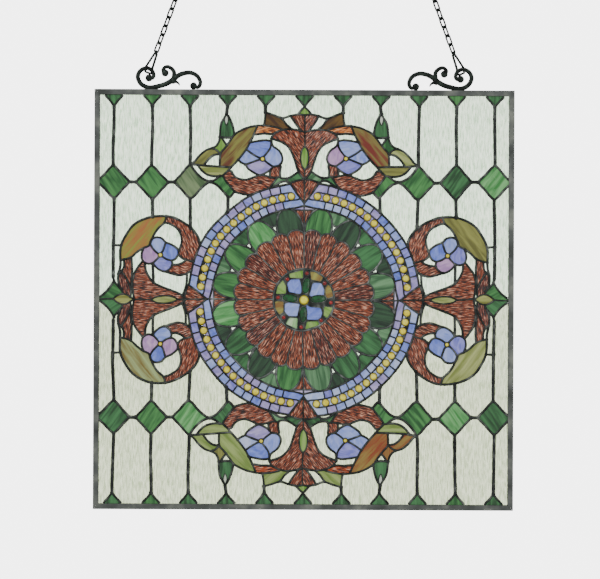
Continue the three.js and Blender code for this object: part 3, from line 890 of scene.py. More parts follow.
# Blue opal pieces: the flowers' petals and the slips over the inner arrowheads.
four("opal", 68, 229, ("blue", "sky", "blue", "periwinkle"), 80)
four("opal", 88, 215, ("sky", "sky", "pale_sky", "sky"), 10)
four("opal", 43, 214, ("sky", "mauve", "sky", "sky"), 10)
four("opal", 67, 199, ("lavender", "periwinkle", "lavender", "sky"), 80)
four("opal", 221, 84, ("sky", "sky", "blue", "sky"), 10)
four("opal", 234, 66, ("mauve", "periwinkle", "mauve", "periwinkle"), 10)
four("opal", 200, 70, ("blue", "blue", "mauve", "blue"), 10)
four("opal", 213, 51, ("periwinkle", "mauve", "sky", "sky"), 80)
four("opal", 5, 138.6, ("lavender", "slip", "slip", "slip"))
four("opal", 138.6, 5, "slip")

# Tiles of the two mosaic rings, mixed as they came to hand.
tile_chance = random.Random(41)
tile_tones = ("blue", "sky", "periwinkle", "lavender", "lavender", "pale_sky", "sky")
tile_middle_outer = (ring_outer + tile_line_outer) / 2
tile_middle_inner = (ring_inner + tile_line_inner) / 2
for quarter in range(4):
    for first, second in zip(nugget_angles, nugget_angles[1:]):
        angle = (first + second) / 2
        for radius in (tile_middle_outer, tile_middle_inner):
            spot = polar(radius, angle + 90 * quarter)
            if region_at(hand_cut(spot)) not in taken:
                pane("opal", spot, tile_chance.choice(tile_tones), tile_chance.uniform(0, 180))

# Wreath: rounded leaves, the fillers between them and the small clear triangles under those.
leaf_tones = ("leaf_green", "black_green", "dark_green", "grey_green", "black_green", "dark_green",
              "dark_green", "grey_green", "leaf_green", "black_green", "dark_green", "bright_green",
              "leaf_green", "leaf_green", "bright_green", "black_green")
filler_tones = ("dark_green", "grey_green", "dark_green", "black_green")
for number in range(leaf_count):
    angle = (number + 0.5) * leaf_angle
    pane("streaky", polar(122, angle), leaf_tones[number], angle)
    if number % 4:
        angle = number * leaf_angle
        pane("streaky", polar(132, angle), filler_tones[number % 4], angle)
        pane("clear", polar(116.5, angle), "clear_upper")

# Rosette petals, and the ring pieces and petals of the centre.
for number in range(petal_count):
    angle = (number + 0.5) * petal_angle
    pane("ripple", polar(75, angle), "red" if number % 5 else "deep_red", angle)
ring_tones = ("light_green", "ring_olive", "ring_olive", "light_green", "light_green", "pale_green",
              "ring_olive", "light_green")
for drawing, tone in zip(ring_pieces, ring_tones):
    spot = middle_of(drawing)
    pane("streaky", spot, tone, math.degrees(math.atan2(spot.x, spot.y)))
for number, (drawing, tone) in enumerate(zip(centre_petals, ("blue", "sky", "sky", "blue"))):
    pane("opal", middle_of(drawing), tone, 30 * number)

# Sockets that hold a jewel, bead or nugget, and the solder that fills the ground between them.
sockets = [polar(ring_middle, a + 90 * q) for q in range(4) for a in nugget_angles]
for x, z in (top_bead, side_bead):
    sockets += [Vector((x * across, z * up)) for across in (-1, 1) for up in (-1, 1)]
marquise_places = [centre_middle + polar(marquise_ring, turn) for turn in marquise_turns]
for spot in sockets + jewel_places + marquise_places + [centre_middle]:
    taken.add(region_at(hand_cut(spot)))
smallest_pane = 14
filling = []
for region in range(region_total):
    if region in taken:
        continue
    a, b, c = (corners[i] for i in triangles[region_triangles[region][0]])
    middle = (a + b + c) / 3
    if max(abs(middle.x), abs(middle.y)) > glass_edge:
        continue
    ground = middle.length < ring_outer - 2
    if ground or region_area(region) < smallest_pane:
        filling.append(region)
        continue
    tone = "clear_upper" if middle.y > 0 else "clear_lower"
    zone = "upper" if middle.y > 0 else "lower"
    glass_pieces.setdefault(("clear", zone), []).append((region, tone, 0.0))


def inset(loop, gap):
    """An outline drawn in from its own line, glass on its left."""
    moved = []
    for before, here, after in zip(loop[-1:] + loop[:-1], loop, loop[1:] + loop[:1]):
        into = (here - before).normalized()
        out = (after - here).normalized()
        side = Vector((-into.y - out.y, into.x + out.x))
        reach = max(0.35, 1 + into.dot(out))
        moved.append(here + side * (gap / reach))
    return moved


def cut_glass(region, gap, spacing):
    """Corners and triangles of a pane, with a grid inside it for its surface relief."""
    loops = [inset(loop, gap) for loop in region_loops(region) if len(loop) > 2]
    rim = KDTree(sum(len(loop) for loop in loops))
    count = 0
    for loop in loops:
        for p in loop:
            rim.insert((p.x, p.y, 0), count)
            count += 1
    rim.balance()
    low = [min(p[axis] for loop in loops for p in loop) for axis in (0, 1)]
    high = [max(p[axis] for loop in loops for p in loop) for axis in (0, 1)]
    inner = []
    rows = int((high[1] - low[1]) / spacing)
    for row in range(1, rows + 1):
        z = low[1] + (row - 0.5) * (high[1] - low[1]) / rows
        steps = int((high[0] - low[0]) / spacing)
        for step in range(steps):
            x = low[0] + (step + 0.25 + 0.5 * (row % 2)) * spacing
            if region_at((x, z)) == region and rim.find((x, z, 0))[2] > spacing * 0.7:
                inner.append(Vector((x, z)))
    lines = [[loop + loop[:1], 1] for loop in loops]
    points, faces, _ = meet(lines, inner)
    kept = [face for face in faces
            if region_at(sum((points[i] for i in face), Vector((0, 0))) / len(face)) == region]
    return points, kept


sheet_step = Vector((37, 53))  # each pane comes from another place of its sheet
sheet_spacing = {"clear": 9.0, "streaky": 4.0, "opal": 4.0, "ripple": 1.7, "ground": 6.0}
rolled = (0.15, 9, 18)
sheet_relief = {"clear": (0.2, 12, 30), "streaky": rolled, "opal": rolled, "ripple": (0.5, 2.2, 13),
                "ground": rolled}  # height, grain across and grain along
sheet_slot = {"clear": "clear_glass", "streaky": "green_glass", "opal": "blue_glass", "ripple": "red_glass"}


def surface_relief(sheet, u, v):
    """How far the rolled surface stands out, from its own streak direction, in millimetres."""
    height, across, along = sheet_relief[sheet]
    return height * noise.noise(Vector((u / across, v / along, 0)))


def on_panel(x, y, z):
    """A place in metres, from its millimetres right of, behind and above the panel's middle."""
    return panel_middle + Vector((x, y, z)) * millimetre


def glass_object(name, panes, sheet, material, gap=foil_gap, half=glass_half):
    vertices = []
    faces = []
    cut = []
    tone_a = []
    tone_b = []
    for number, (region, tone, turn) in enumerate(panes):
        points, kept = cut_glass(region, gap, sheet_spacing[sheet])
        used = sorted({i for face in kept for i in face})
        if not used:
            continue
        first = len(vertices)
        number_of = {old: new for new, old in enumerate(used)}
        shift = sheet_step * number
        colours = [linear(c) for c in tones[tone]]
        for side in (-1, 1):
            for i in used:
                u, v = turned_by(points[i], -turn) + shift
                rise = surface_relief(sheet, u, v) if side < 0 else 0
                vertices.append(on_panel(points[i].x, side * half - rise, points[i].y))
                cut.append((u, v))
                tone_a.append(colours[0])
                tone_b.append(colours[1])
        back = len(used)
        open_edges = set()
        for face in kept:
            a, b, c = (number_of[i] for i in face)
            faces.append((first + a, first + b, first + c))
            faces.append((first + back + c, first + back + b, first + back + a))
            for edge in ((a, b), (b, c), (c, a)):
                if edge[::-1] in open_edges:
                    open_edges.remove(edge[::-1])
                else:
                    open_edges.add(edge)
        for a, b in sorted(open_edges):
            faces.append((first + b, first + a, first + back + a, first + back + b))
    mesh = bpy.data.meshes.new(name)
    mesh.from_pydata(vertices, [], faces)
    uv_map = mesh.uv_layers.new(name="cut_direction")
    for loop in mesh.loops:
        uv_map.data[loop.index].uv = cut[loop.vertex_index]
    for attribute, colours in (("tone_a", tone_a), ("tone_b", tone_b)):
        layer = mesh.attributes.new(attribute, "FLOAT_COLOR", "POINT")
        layer.data.foreach_set("color", [part for colour in colours for part in colour])
    mesh.materials.append(material)
    return link_object(name, mesh)


def sheet_direction(tree):
    """The pane's own cut direction in millimetres, across and along its streaks."""
    return add_node(tree, "ShaderNodeUVMap", uv_map="cut_direction").outputs["UV"]


def stretched_noise(tree, vector, across, along, **more):
    """Noise drawn out along the streaks: its grain in millimetres across and along them."""
    scaled = add_node(tree, "ShaderNodeMapping",
                      {"Vector": vector, "Scale": (1 / across, 1 / along, 1)}, vector_type="POINT")
    inputs = {"Vector": scaled.outputs[0], "Scale": 1.0, "Detail": 3.0}
    inputs.update(more)
    return add_node(tree, "ShaderNodeTexNoise", inputs).outputs["Fac"]


def own_tones(tree, factor):
    """The two tones of the pane's own sheet, mixed by a factor."""
    a = add_node(tree, "ShaderNodeAttribute", attribute_name="tone_a").outputs["Color"]
    b = add_node(tree, "ShaderNodeAttribute", attribute_name="tone_b").outputs["Color"]
    return add_node(tree, "ShaderNodeMix", {"Factor": factor, 6: a, 7: b}, data_type="RGBA").outputs[2]


def streaky_glass():
    # Hand-rolled cathedral glass: two tones drawn into long streaks, glossy, slightly wavy.
    material, tree, shader = new_material("streaky_rolled_glass")
    cut = sheet_direction(tree)
    streak = stretched_noise(tree, cut, 7, 60, Detail=4.0, Distortion=0.6)
    spread = add_node(tree, "ShaderNodeMapRange",
                      {"Value": streak, "From Min": 0.38, "From Max": 0.62})
    set_inputs(tree, shader, {"Base Color": own_tones(tree, spread.outputs[0])})
    wave = stretched_noise(tree, cut, 3, 9)
    bump = add_node(tree, "ShaderNodeBump", {"Height": wave, "Strength": 0.4, "Distance": 0.0006})
    set_inputs(tree, shader, {
        "Normal": bump.outputs["Normal"],
        "Roughness": 0.14,
        "IOR": 1.52,
        "Transmission Weight": 0.06,
    })
    return material


def opal_glass():
    # Opalescent sheet glass: wisps of white stirred into blue, milky, with a polished fire finish.
    material, tree, shader = new_material("opalescent_glass")
    cut = sheet_direction(tree)
    wisp = stretched_noise(tree, cut, 8, 20, Detail=3.0, Distortion=1.2)
    spread = add_node(tree, "ShaderNodeMapRange",
                      {"Value": wisp, "From Min": 0.32, "From Max": 0.68})
    set_inputs(tree, shader, {
        "Base Color": own_tones(tree, spread.outputs[0]),
        "Roughness": 0.16,
        "IOR": 1.52,
        "Transmission Weight": 0.06,
    })
    return material


def ripple_glass():
    # Ripple glass: deep rolled ridges a few millimetres apart, with painted shade in the valleys and
    # painted glints on the crests.
    material, tree, shader = new_material("red_ripple_glass")
    cut = sheet_direction(tree)
    ridge = stretched_noise(tree, cut, 1.15, 11, Detail=1.5, Distortion=0.25)
    spread = add_node(tree, "ShaderNodeMapRange",
                      {"Value": ridge, "From Min": 0.38, "From Max": 0.62})
    body = own_tones(tree, spread.outputs[0])
    # Painted shade: the ridge valleys are darkened in the colour, multiplied into the sheet's tones.
    shade = ramp(tree, ridge, ((0.42, "#1c0a06"), (0.53, "#ffffff"), (0.6, "#ffffff")))
    dark = add_node(tree, "ShaderNodeMix", {"Factor": 0.9, 6: body, 7: shade}, data_type="RGBA",
                    blend_type="MULTIPLY")
    # Painted glints: the ridge crests are lightened in the colour, screened over it.
    glint = ramp(tree, ridge, ((0.58, "#000000"), (0.65, "#c69a84")))
    lit = add_node(tree, "ShaderNodeMix", {"Factor": 1.0, 6: dark.outputs[2], 7: glint},
                   data_type="RGBA", blend_type="SCREEN")
    set_inputs(tree, shader, {"Base Color": lit.outputs[2]})
    bump = add_node(tree, "ShaderNodeBump", {"Height": ridge, "Strength": 0.8, "Distance": 0.0012})
    set_inputs(tree, shader, {"Normal": bump.outputs["Normal"], "Roughness": 0.2, "IOR": 1.52})
    return material


def clear_glass():
    # Clear textured sheet: see-through, faintly green, with fine drawn ripples that break up the view.
    material, tree, shader = new_material("clear_textured_glass")
    cut = sheet_direction(tree)
    ripple = stretched_noise(tree, cut, 1.9, 14, Detail=3.0, Distortion=0.5)
    spread = add_node(tree, "ShaderNodeMapRange",
                      {"Value": ripple, "From Min": 0.36, "From Max": 0.6})
    set_inputs(tree, shader, {"Base Color": own_tones(tree, spread.outputs[0])})
    bump = add_node(tree, "ShaderNodeBump", {"Height": ripple, "Strength": 0.35, "Distance": 0.0008})
    set_inputs(tree, shader, {
        "Normal": bump.outputs["Normal"],
        "Roughness": 0.08,
        "IOR": 1.5,
        "Transmission Weight": 0.9,
    })
    return material


sheet_material = {
    "streaky": streaky_glass(), "opal": opal_glass(), "ripple": ripple_glass(), "clear": clear_glass(),
}
corner_names = [f"{up}_{across}" for up in ("top", "bottom") for across in ("left", "right")]
replaced_by = {
    ("clear", "upper"): ["clear_glass_top_left", "clear_glass_top_right"],
    ("clear", "lower"): ["clear_glass_bottom_left", "clear_glass_bottom_right"],
    ("streaky", "upper"): [f"diamond_top_{a}_{i}" for a in ("left", "right") for i in (1, 2, 3)]
    + ["top_scroll_left", "top_scroll_right"],
    ("streaky", "lower"): [f"diamond_bottom_{a}_{i}" for a in ("left", "right") for i in (1, 2, 3)]
    + ["bottom_scroll_left", "bottom_scroll_right"],
    ("streaky", "left"): ["left_scroll_upper", "left_scroll_lower"],
    ("streaky", "right"): ["right_scroll_upper", "right_scroll_lower"],
    ("streaky", "medallion"): ["leaf_wreath"],
    ("opal", "upper"): ["top_flower_left", "top_flower_right"],
    ("opal", "lower"): ["bottom_flower_left", "bottom_flower_right"],
    ("opal", "left"): ["left_flower_upper", "left_flower_lower"],
    ("opal", "right"): ["right_flower_upper", "right_flower_lower"],
    ("opal", "medallion"): [f"mosaic_{name}" for name in corner_names] + ["centre_rosette"],
    ("ripple", "upper"): ["vase_top"],
    ("ripple", "lower"): ["vase_bottom"],
    ("ripple", "left"): ["vase_left"],
    ("ripple", "right"): ["vase_right"],
    ("ripple", "medallion"): ["petal_rosette"]
    + [f"arrowhead_{edge}" for edge in ("top", "bottom", "left", "right")],
}
for (sheet, zone), panes in sorted(glass_pieces.items()):
    glass = glass_object(f"{sheet}_glass_{zone}", panes, sheet, sheet_material[sheet])
    finish_piece(glass, sheet_slot[sheet], *replaced_by.get((sheet, zone), []))

ground = glass_object("solder_ground", [(region, "solder", 0) for region in filling], "ground",
                      solder_material, gap=0.1, half=1.9)
finish_piece(ground, "solder")


# Nuggets, beads and jewels: pressed glass gems with a domed front and back, each in its own foil ring.

def gem_profile(radius, rise, girdle=1.6, steps=5):
    """Half outline of a domed gem, from the front pole to the back pole."""
    front = [(radius * math.sin(math.pi / 2 * i / steps), girdle + rise * math.cos(math.pi / 2 * i / steps))
             for i in range(steps + 1)]
    return front + [(r, -h) for r, h in reversed(front)]


def skin(shape, rings):
    """Joins rings of points one after the other, and closes the ends that are not a single point."""
    for first, second in zip(rings, rings[1:]):
        sides = max(len(first), len(second))
        for i in range(sides):
            j = (i + 1) % sides
            quad = (first[i % len(first)], first[j % len(first)], second[j % len(second)],
                    second[i % len(second)])
            shape.faces.new(list(dict.fromkeys(quad)))
    for ring in (rings[0], rings[-1]):
        if len(ring) > 1:
            shape.faces.new(ring)


def modelled(name, shape, material, smooth=True):
    """Makes a piece of one material from a modelled shape, its faces turned outwards."""
    bmesh.ops.recalc_face_normals(shape, faces=shape.faces)
    mesh = bpy.data.meshes.new(name)
    shape.to_mesh(mesh)
    shape.free()
    if smooth:
        mesh.shade_smooth()
    mesh.materials.append(material)
    return link_object(name, mesh)


def turned_gem(shape, spot, radius, rise, sides=14):
    """Adds one domed gem to a shape, with its axis front to back and its reach from the axis in rim."""
    rim = shape.verts.layers.float.get("rim") or shape.verts.layers.float.new("rim")
    rings = []
    for r, h in gem_profile(radius, rise):
        if r < 1e-6:
            rings.append([shape.verts.new(on_panel(spot.x, -h, spot.y))])
            continue
        row = []
        for i in range(sides):
            offset = polar(r, 360 * i / sides)
            row.append(shape.verts.new(on_panel(spot.x + offset.x, -h, spot.y + offset.y)))
            row[-1][rim] = r / radius
        rings.append(row)
    skin(shape, rings)


def gems(name, slot, material, spots):
    shape = bmesh.new()
    for spot, radius, rise in spots:
        turned_gem(shape, hand_cut(spot), radius, rise)
    finish_piece(modelled(name, shape, material), slot)


def pressed_glass(name, dark, pale):
    # Pressed glass with fire-polished domes: deep colour, mirror gloss, and painted shade darkening each
    # dome towards its rim.
    material, tree, shader = new_material(name)
    cloud = add_node(tree, "ShaderNodeTexNoise",
                     {"Vector": object_metres(tree), "Scale": 1 / 0.006, "Detail": 2})
    colour = ramp(tree, cloud.outputs["Fac"], ((0.35, dark), (0.65, pale)))
    # Painted shade: the colour is darkened towards each gem's rim, read from the rim attribute, in place of
    # the dome turning from the light.
    rim = add_node(tree, "ShaderNodeAttribute", attribute_name="rim")
    depth = ramp(tree, rim.outputs["Fac"], ((0.5, "#ffffff"), (0.8, "#a8a060"), (1.0, "#4c4420")))
    shaded = add_node(tree, "ShaderNodeMix", {"Factor": 1.0, 6: colour, 7: depth}, data_type="RGBA",
                      blend_type="MULTIPLY")
    set_inputs(tree, shader, {
        "Base Color": shaded.outputs[2],
        "Roughness": 0.06,
        "IOR": 1.52,
        "Transmission Weight": 0.05,
    })
    return material


gold_glass = pressed_glass("gold_pressed_glass", "#f2dc14", "#fff86a")
gems("gold_nuggets", "mosaic_glass", gold_glass,
     [(spot, nugget_radius + 0.8, 2.6) for spot in sockets[:4 * len(nugget_angles)]])
gems("gold_beads", "mosaic_glass", gold_glass,
     [(spot, bead_radius - 0.3, 2.2) for spot in sockets[4 * len(nugget_angles):]])
gems("centre_jewel", "mosaic_glass", pressed_glass("yellow_pressed_glass", "#fff21a", "#ffff5c"),
     [(centre_middle, centre_jewel_radius - 0.2, 3.6)])
gems("red_jewels", "red_glass", pressed_glass("red_pressed_glass", "#780c0a", "#a81c16"),
     [(spot, jewel_radius - 0.1, 2.4) for spot in jewel_places])

# Green marquise jewels: long cut stones with a flat table and sloping facets.
marquise_levels = ((0.55, -3.0), (1.0, -0.9), (1.0, 1.8), (0.8, 3.2), (0.45, 4.0))  # share and rise
marquise_fit = 0.97
marquise_offset = Vector((0, marquise_ring))
marquise_shape = bmesh.new()
for turn in marquise_turns:
    outline = [p - marquise_offset for p in marquise(16)]
    rings = []
    for share, rise in marquise_levels:
        row = []
        for p in outline:
            spot = hand_cut(centre_middle + turned_by(p * share * marquise_fit + marquise_offset, turn))
            row.append(marquise_shape.verts.new(on_panel(spot.x, -rise, spot.y)))
        rings.append(row)
    skin(marquise_shape, rings)
cut_glass_green = pressed_glass("green_cut_glass", "#042c14", "#0c5c2a")
finish_piece(modelled("marquise_jewels", marquise_shape, cut_glass_green, smooth=False), "green_glass")


# Came frame: four bars of U-section zinc, mitred at the corners, brushed by rolling.

def rolled_zinc():
    # Rolled zinc came, dulled by patina: mid grey, brushed along the bar, dark in the scratches.
    material, tree, shader = new_material("rolled_zinc")
    place = object_metres(tree)
    brushed = add_node(tree, "ShaderNodeMapping",
                       {"Vector": place, "Scale": (1 / 0.05, 1 / 0.002, 1 / 0.05)})
    streak = add_node(tree, "ShaderNodeTexNoise", {"Vector": brushed.outputs[0], "Scale": 1.0, "Detail": 6})
    blotch = add_node(tree, "ShaderNodeTexNoise", {"Vector": place, "Scale": 1 / 0.02, "Detail": 5})
    both = add_node(tree, "ShaderNodeMix",
                    {"Factor": 0.5, 2: streak.outputs["Fac"], 3: blotch.outputs["Fac"]})
    colour = ramp(tree, both.outputs[0], ((0.36, "#3f4340"), (0.5, "#5c605d"), (0.66, "#85897f")))
    set_inputs(tree, shader, {"Base Color": colour})
    fine = add_node(tree, "ShaderNodeTexNoise", {"Vector": place, "Scale": 1 / 0.0015, "Detail": 3})
    bump = add_node(tree, "ShaderNodeBump",
                    {"Height": fine.outputs["Fac"], "Strength": 0.25, "Distance": 0.0004})
    set_inputs(tree, shader, {"Normal": bump.outputs["Normal"], "Metallic": 0.7, "Roughness": 0.45})
    return material


came_depth = 7.4
came_lip = 1.2
zinc = rolled_zinc()
lip_y = came_depth / 2
channel_y = lip_y - came_lip
came_section = (
    (half_panel - 0.9, -lip_y), (half_panel - 0.25, -lip_y + 0.25), (half_panel, -lip_y + 0.9),
    (half_panel, lip_y - 0.9), (half_panel - 0.25, lip_y - 0.25), (half_panel - 0.9, lip_y),
    (sight_edge + 0.5, lip_y), (sight_edge, lip_y - 0.5), (sight_edge, channel_y),
    (half_panel - came_lip, channel_y), (half_panel - came_lip, -channel_y),
    (sight_edge, -channel_y), (sight_edge, -lip_y + 0.5), (sight_edge + 0.5, -lip_y),
)
mitre_gap = 0.03
for turns, edge in enumerate(("top", "right", "bottom", "left")):
    bar = bmesh.new()
    ends = []
    for side in (-1, 1):
        row = []
        for out, y in came_section:
            point = turned_by((side * (out - mitre_gap), out), 90 * turns)
            row.append(bar.verts.new(on_panel(point.x, y, point.y)))
        ends.append(row)
    skin(bar, ends)
    finish_piece(modelled(f"came_{edge}", bar, zinc, smooth=False), "came_zinc", f"frame_{edge}")


# Scroll hooks: cast bronze-toned metal scrolls soldered on the top bar, a big open curl outwards, a small
# one over it and a long one inwards, each ending in a ball.

def dark_bronze():
    # Cast metal under a near-black bronze patina, rubbed a little paler in places.
    material, tree, shader = new_material("dark_bronze_casting")
    place = object_metres(tree)
    cloud = add_node(tree, "ShaderNodeTexNoise", {"Vector": place, "Scale": 1 / 0.008, "Detail": 4})
    colour = ramp(tree, cloud.outputs["Fac"], ((0.35, "#0f1411"), (0.55, "#1f2823"), (0.75, "#3c463e")))
    set_inputs(tree, shader, {"Base Color": colour})
    grit = add_node(tree, "ShaderNodeTexNoise", {"Vector": place, "Scale": 1 / 0.0012, "Detail": 2})
    bump = add_node(tree, "ShaderNodeBump",
                    {"Height": grit.outputs["Fac"], "Strength": 0.3, "Distance": 0.0003})
    set_inputs(tree, shader, {"Normal": bump.outputs["Normal"], "Metallic": 0.75, "Roughness": 0.42})
    return material


bronze = dark_bronze()
hook_base = half_panel + 0.3
hook_scrolls = (
    (((199, 14), (209, 8.2), (220, 4.6), (235, 2.2), (247, 7.5), (252.3, 18), (248.5, 27.5), (239.2, 31.7),
      (231, 28), (228.2, 19.8), (232.5, 15)), 4.1),
    (((199, 12), (197.6, 25.5), (203.5, 32.5), (210, 33.6), (214.5, 29), (211.8, 24.5)), 3.6),
    (((199, 14), (192, 20), (184.2, 23.6), (173.3, 25), (163, 20.5), (157.8, 11), (160.5, 3.6), (167, 3.9)),
     4.0),
)
hook_balls = ((235.5, 16.6), (211, 24.3), (168, 5))
hook_half_depth = 2.2
hook_sink = 0.1
hook_leaf = ((206, 10), (199, 12.5), (191.5, 9.5), (189, 5.5))
hook_leaf_depth = 1.9


def swept(shape, path, radii, half_depth, sides=10):
    """Sweeps a rounded section along a flat path in the panel's plane, with flat ends."""
    rings = []
    points = [Vector(p) for p in path]
    for i, p in enumerate(points):
        along = (points[min(i + 1, len(points) - 1)] - points[max(i - 1, 0)]).normalized()
        across = Vector((-along.y, along.x))
        row = []
        for s in range(sides):
            angle = 2 * math.pi * s / sides
            flat = p + across * radii[i] * math.cos(angle)
            row.append(shape.verts.new(on_panel(flat.x, half_depth[i] * math.sin(angle), flat.y)))
        rings.append(row)
    skin(shape, rings)


def ball(shape, spot, radius, depth):
    made = bmesh.ops.create_uvsphere(shape, u_segments=14, v_segments=9, radius=1)
    size = Matrix.Diagonal((radius, depth, radius, 1))
    bmesh.ops.transform(shape, matrix=Matrix.Scale(millimetre, 4) @ size, verts=made["verts"])
    bmesh.ops.translate(shape, vec=on_panel(spot[0], 0, spot[1]), verts=made["verts"])


for side, name in ((-1, "left"), (1, "right")):
    hook = bmesh.new()
    for line, girth in hook_scrolls:
        path = spline([(side * x, hook_base + h - hook_sink) for x, h in line], step=1.6)
        last = len(path) - 1
        radii = [girth * (1 - 0.28 * i / last) for i in range(last + 1)]
        radii[-1] *= 0.6
        depth = [hook_half_depth * (1 - 0.2 * i / last) for i in range(last + 1)]
        swept(hook, path, radii, depth)
    for x, h in hook_balls:
        ball(hook, (side * x, hook_base + h), 5.6, 3.4)
    ball(hook, (side * 199, hook_base + 13), 5.4, 3.2)
    path = spline([(side * x, hook_base + h) for x, h in hook_leaf], step=1.6)
    last = len(path) - 1
    radii = [0.7 + 3.4 * (1 - i / last) ** 0.8 for i in range(last + 1)]
    swept(hook, path, radii, [hook_leaf_depth] * (last + 1))
    cast = modelled(f"scroll_hook_cast_{name}", hook, bronze)
    finish_piece(cast, "hook_bronze", f"scroll_hook_{name}")


# Chains: bent wire links, each turned a quarter against the last, hung on a wire clip through the curl.

link_wire = 2.8
link_pitch = 13.85
link_length = link_pitch + 2 * link_wire
link_width = 10.0
link_count = 7
chain_lean = math.radians(20)
clip_wire = 3.9
curl_top = 31.7
clip_rise = 25.8
clip_apex = (224.5, hook_base + curl_top + clip_rise - hook_sink)


def chain_tree(material):
    """Geometry nodes that string wire links on a line of points, each turned a quarter from the last."""
    tree, given = shape_tree("wire_chain", ("Link length", "Link width", "Wire", "Lean"))
    long = add_node(tree, "ShaderNodeMath", {0: given["Link length"], 1: given["Wire"]},
                    operation="SUBTRACT")
    wide = add_node(tree, "ShaderNodeMath", {0: given["Link width"], 1: given["Wire"]},
                    operation="SUBTRACT")
    round_end = add_node(tree, "ShaderNodeMath", {0: wide.outputs[0], 1: 0.48}, operation="MULTIPLY")
    outline = add_node(tree, "GeometryNodeCurvePrimitiveQuadrilateral",
                       {"Width": wide.outputs[0], "Height": long.outputs[0]})
    outline = add_node(tree, "GeometryNodeFilletCurve", {
        "Curve": outline.outputs[0], "Count": 5, "Radius": round_end.outputs[0], "Limit Radius": True,
    }, mode="POLY")
    wire = add_node(tree, "ShaderNodeMath", {0: given["Wire"], 1: 0.5}, operation="MULTIPLY")
    section = add_node(tree, "GeometryNodeCurvePrimitiveCircle",
                       {"Resolution": 8, "Radius": wire.outputs[0]})
    ring_of_wire = add_node(tree, "GeometryNodeCurveToMesh",
                            {"Curve": outline.outputs[0], "Profile Curve": section.outputs[0]})
    index = add_node(tree, "GeometryNodeInputIndex")
    odd = add_node(tree, "ShaderNodeMath", {0: index.outputs[0], 1: 2.0}, operation="MODULO")
    quarter_turn = add_node(tree, "ShaderNodeMath", {0: odd.outputs[0], 1: math.pi / 2, 2: math.pi / 4},
                            operation="MULTIPLY_ADD")
    face_on = add_node(tree, "FunctionNodeEulerToRotation", {0: (math.pi / 2, 0, 0)})
    spin = add_node(tree, "FunctionNodeAxisAngleToRotation",
                    {"Axis": (0, 0, 1), "Angle": quarter_turn.outputs[0]})
    lean = add_node(tree, "FunctionNodeAxisAngleToRotation", {"Axis": (0, 1, 0), "Angle": given["Lean"]})
    stood = add_node(tree, "FunctionNodeRotateRotation", {0: face_on.outputs[0], 1: spin.outputs[0]},
                     rotation_space="GLOBAL")
    hung = add_node(tree, "FunctionNodeRotateRotation", {0: stood.outputs[0], 1: lean.outputs[0]},
                    rotation_space="GLOBAL")
    links = add_node(tree, "GeometryNodeInstanceOnPoints", {
        "Points": given["Geometry"], "Instance": ring_of_wire.outputs[0], "Rotation": hung.outputs[0],
    })
    return close_tree(tree, links.outputs[0], material)


wire_chain = chain_tree(bronze)
clip_through = (233.4, hook_base + 23.2)
clip_feet = (240.5, 230.5)
clip_side = hook_half_depth + 0.3 + clip_wire / 2
link_start = 5.8
for side, name in ((-1, "left"), (1, "right")):
    points = []
    for number in range(link_count):
        run = link_start + number * link_pitch
        x = side * (clip_apex[0] - run * math.sin(chain_lean))
        points.append(on_panel(x, 0, clip_apex[1] + run * math.cos(chain_lean)))
    mesh = bpy.data.meshes.new(f"link_chain_{name}")
    mesh.from_pydata(points, [], [])
    chain = link_object(f"link_chain_{name}", mesh)
    settle(chain, wire_chain, {
        "Link length": link_length * millimetre, "Link width": link_width * millimetre,
        "Wire": link_wire * millimetre, "Lean": -side * chain_lean,
    })
    finish_piece(chain, "hook_bronze", f"chain_{name}")

    wire = bpy.data.curves.new(f"chain_clip_{name}", "CURVE")
    wire.dimensions = "3D"
    wire.bevel_depth = clip_wire / 2 * millimetre
    wire.bevel_resolution = 2
    wire.use_fill_caps = True
    leg = wire.splines.new("POLY")
    through_x, through_z = clip_through
    front_x, back_x = clip_feet
    apex_x, apex_z = clip_apex
    route = [(through_x, 0, through_z), (front_x, -clip_side, through_z + 2.5),
             (front_x, -clip_side, through_z + 9), (apex_x + 3.2, -1.8, apex_z - 5), (apex_x, 0, apex_z),
             (apex_x - 0.5, 1.8, apex_z - 5), (back_x, clip_side, through_z + 9),
             (back_x, clip_side, through_z + 2.5), (through_x, 0, through_z)]
    leg.points.add(len(route) - 1)
    for point, (x, y, z) in zip(leg.points, route):
        point.co = (*on_panel(side * x, y, z), 1)
    holder = link_object(f"chain_clip_{name}", wire)
    solid = holder.evaluated_get(bpy.context.evaluated_depsgraph_get())
    clip_mesh = bpy.data.meshes.new_from_object(solid)
    bpy.data.objects.remove(holder)
    clip_mesh.materials.clear()
    clip_mesh.materials.append(bronze)
    clip_mesh.shade_smooth()
    clip = link_object(f"chain_clip_{name}", clip_mesh)
    finish_piece(clip, "hook_bronze")


# Ceiling hooks: a turned plate screwed flat to the ceiling, with a bent wire hook out of its middle.

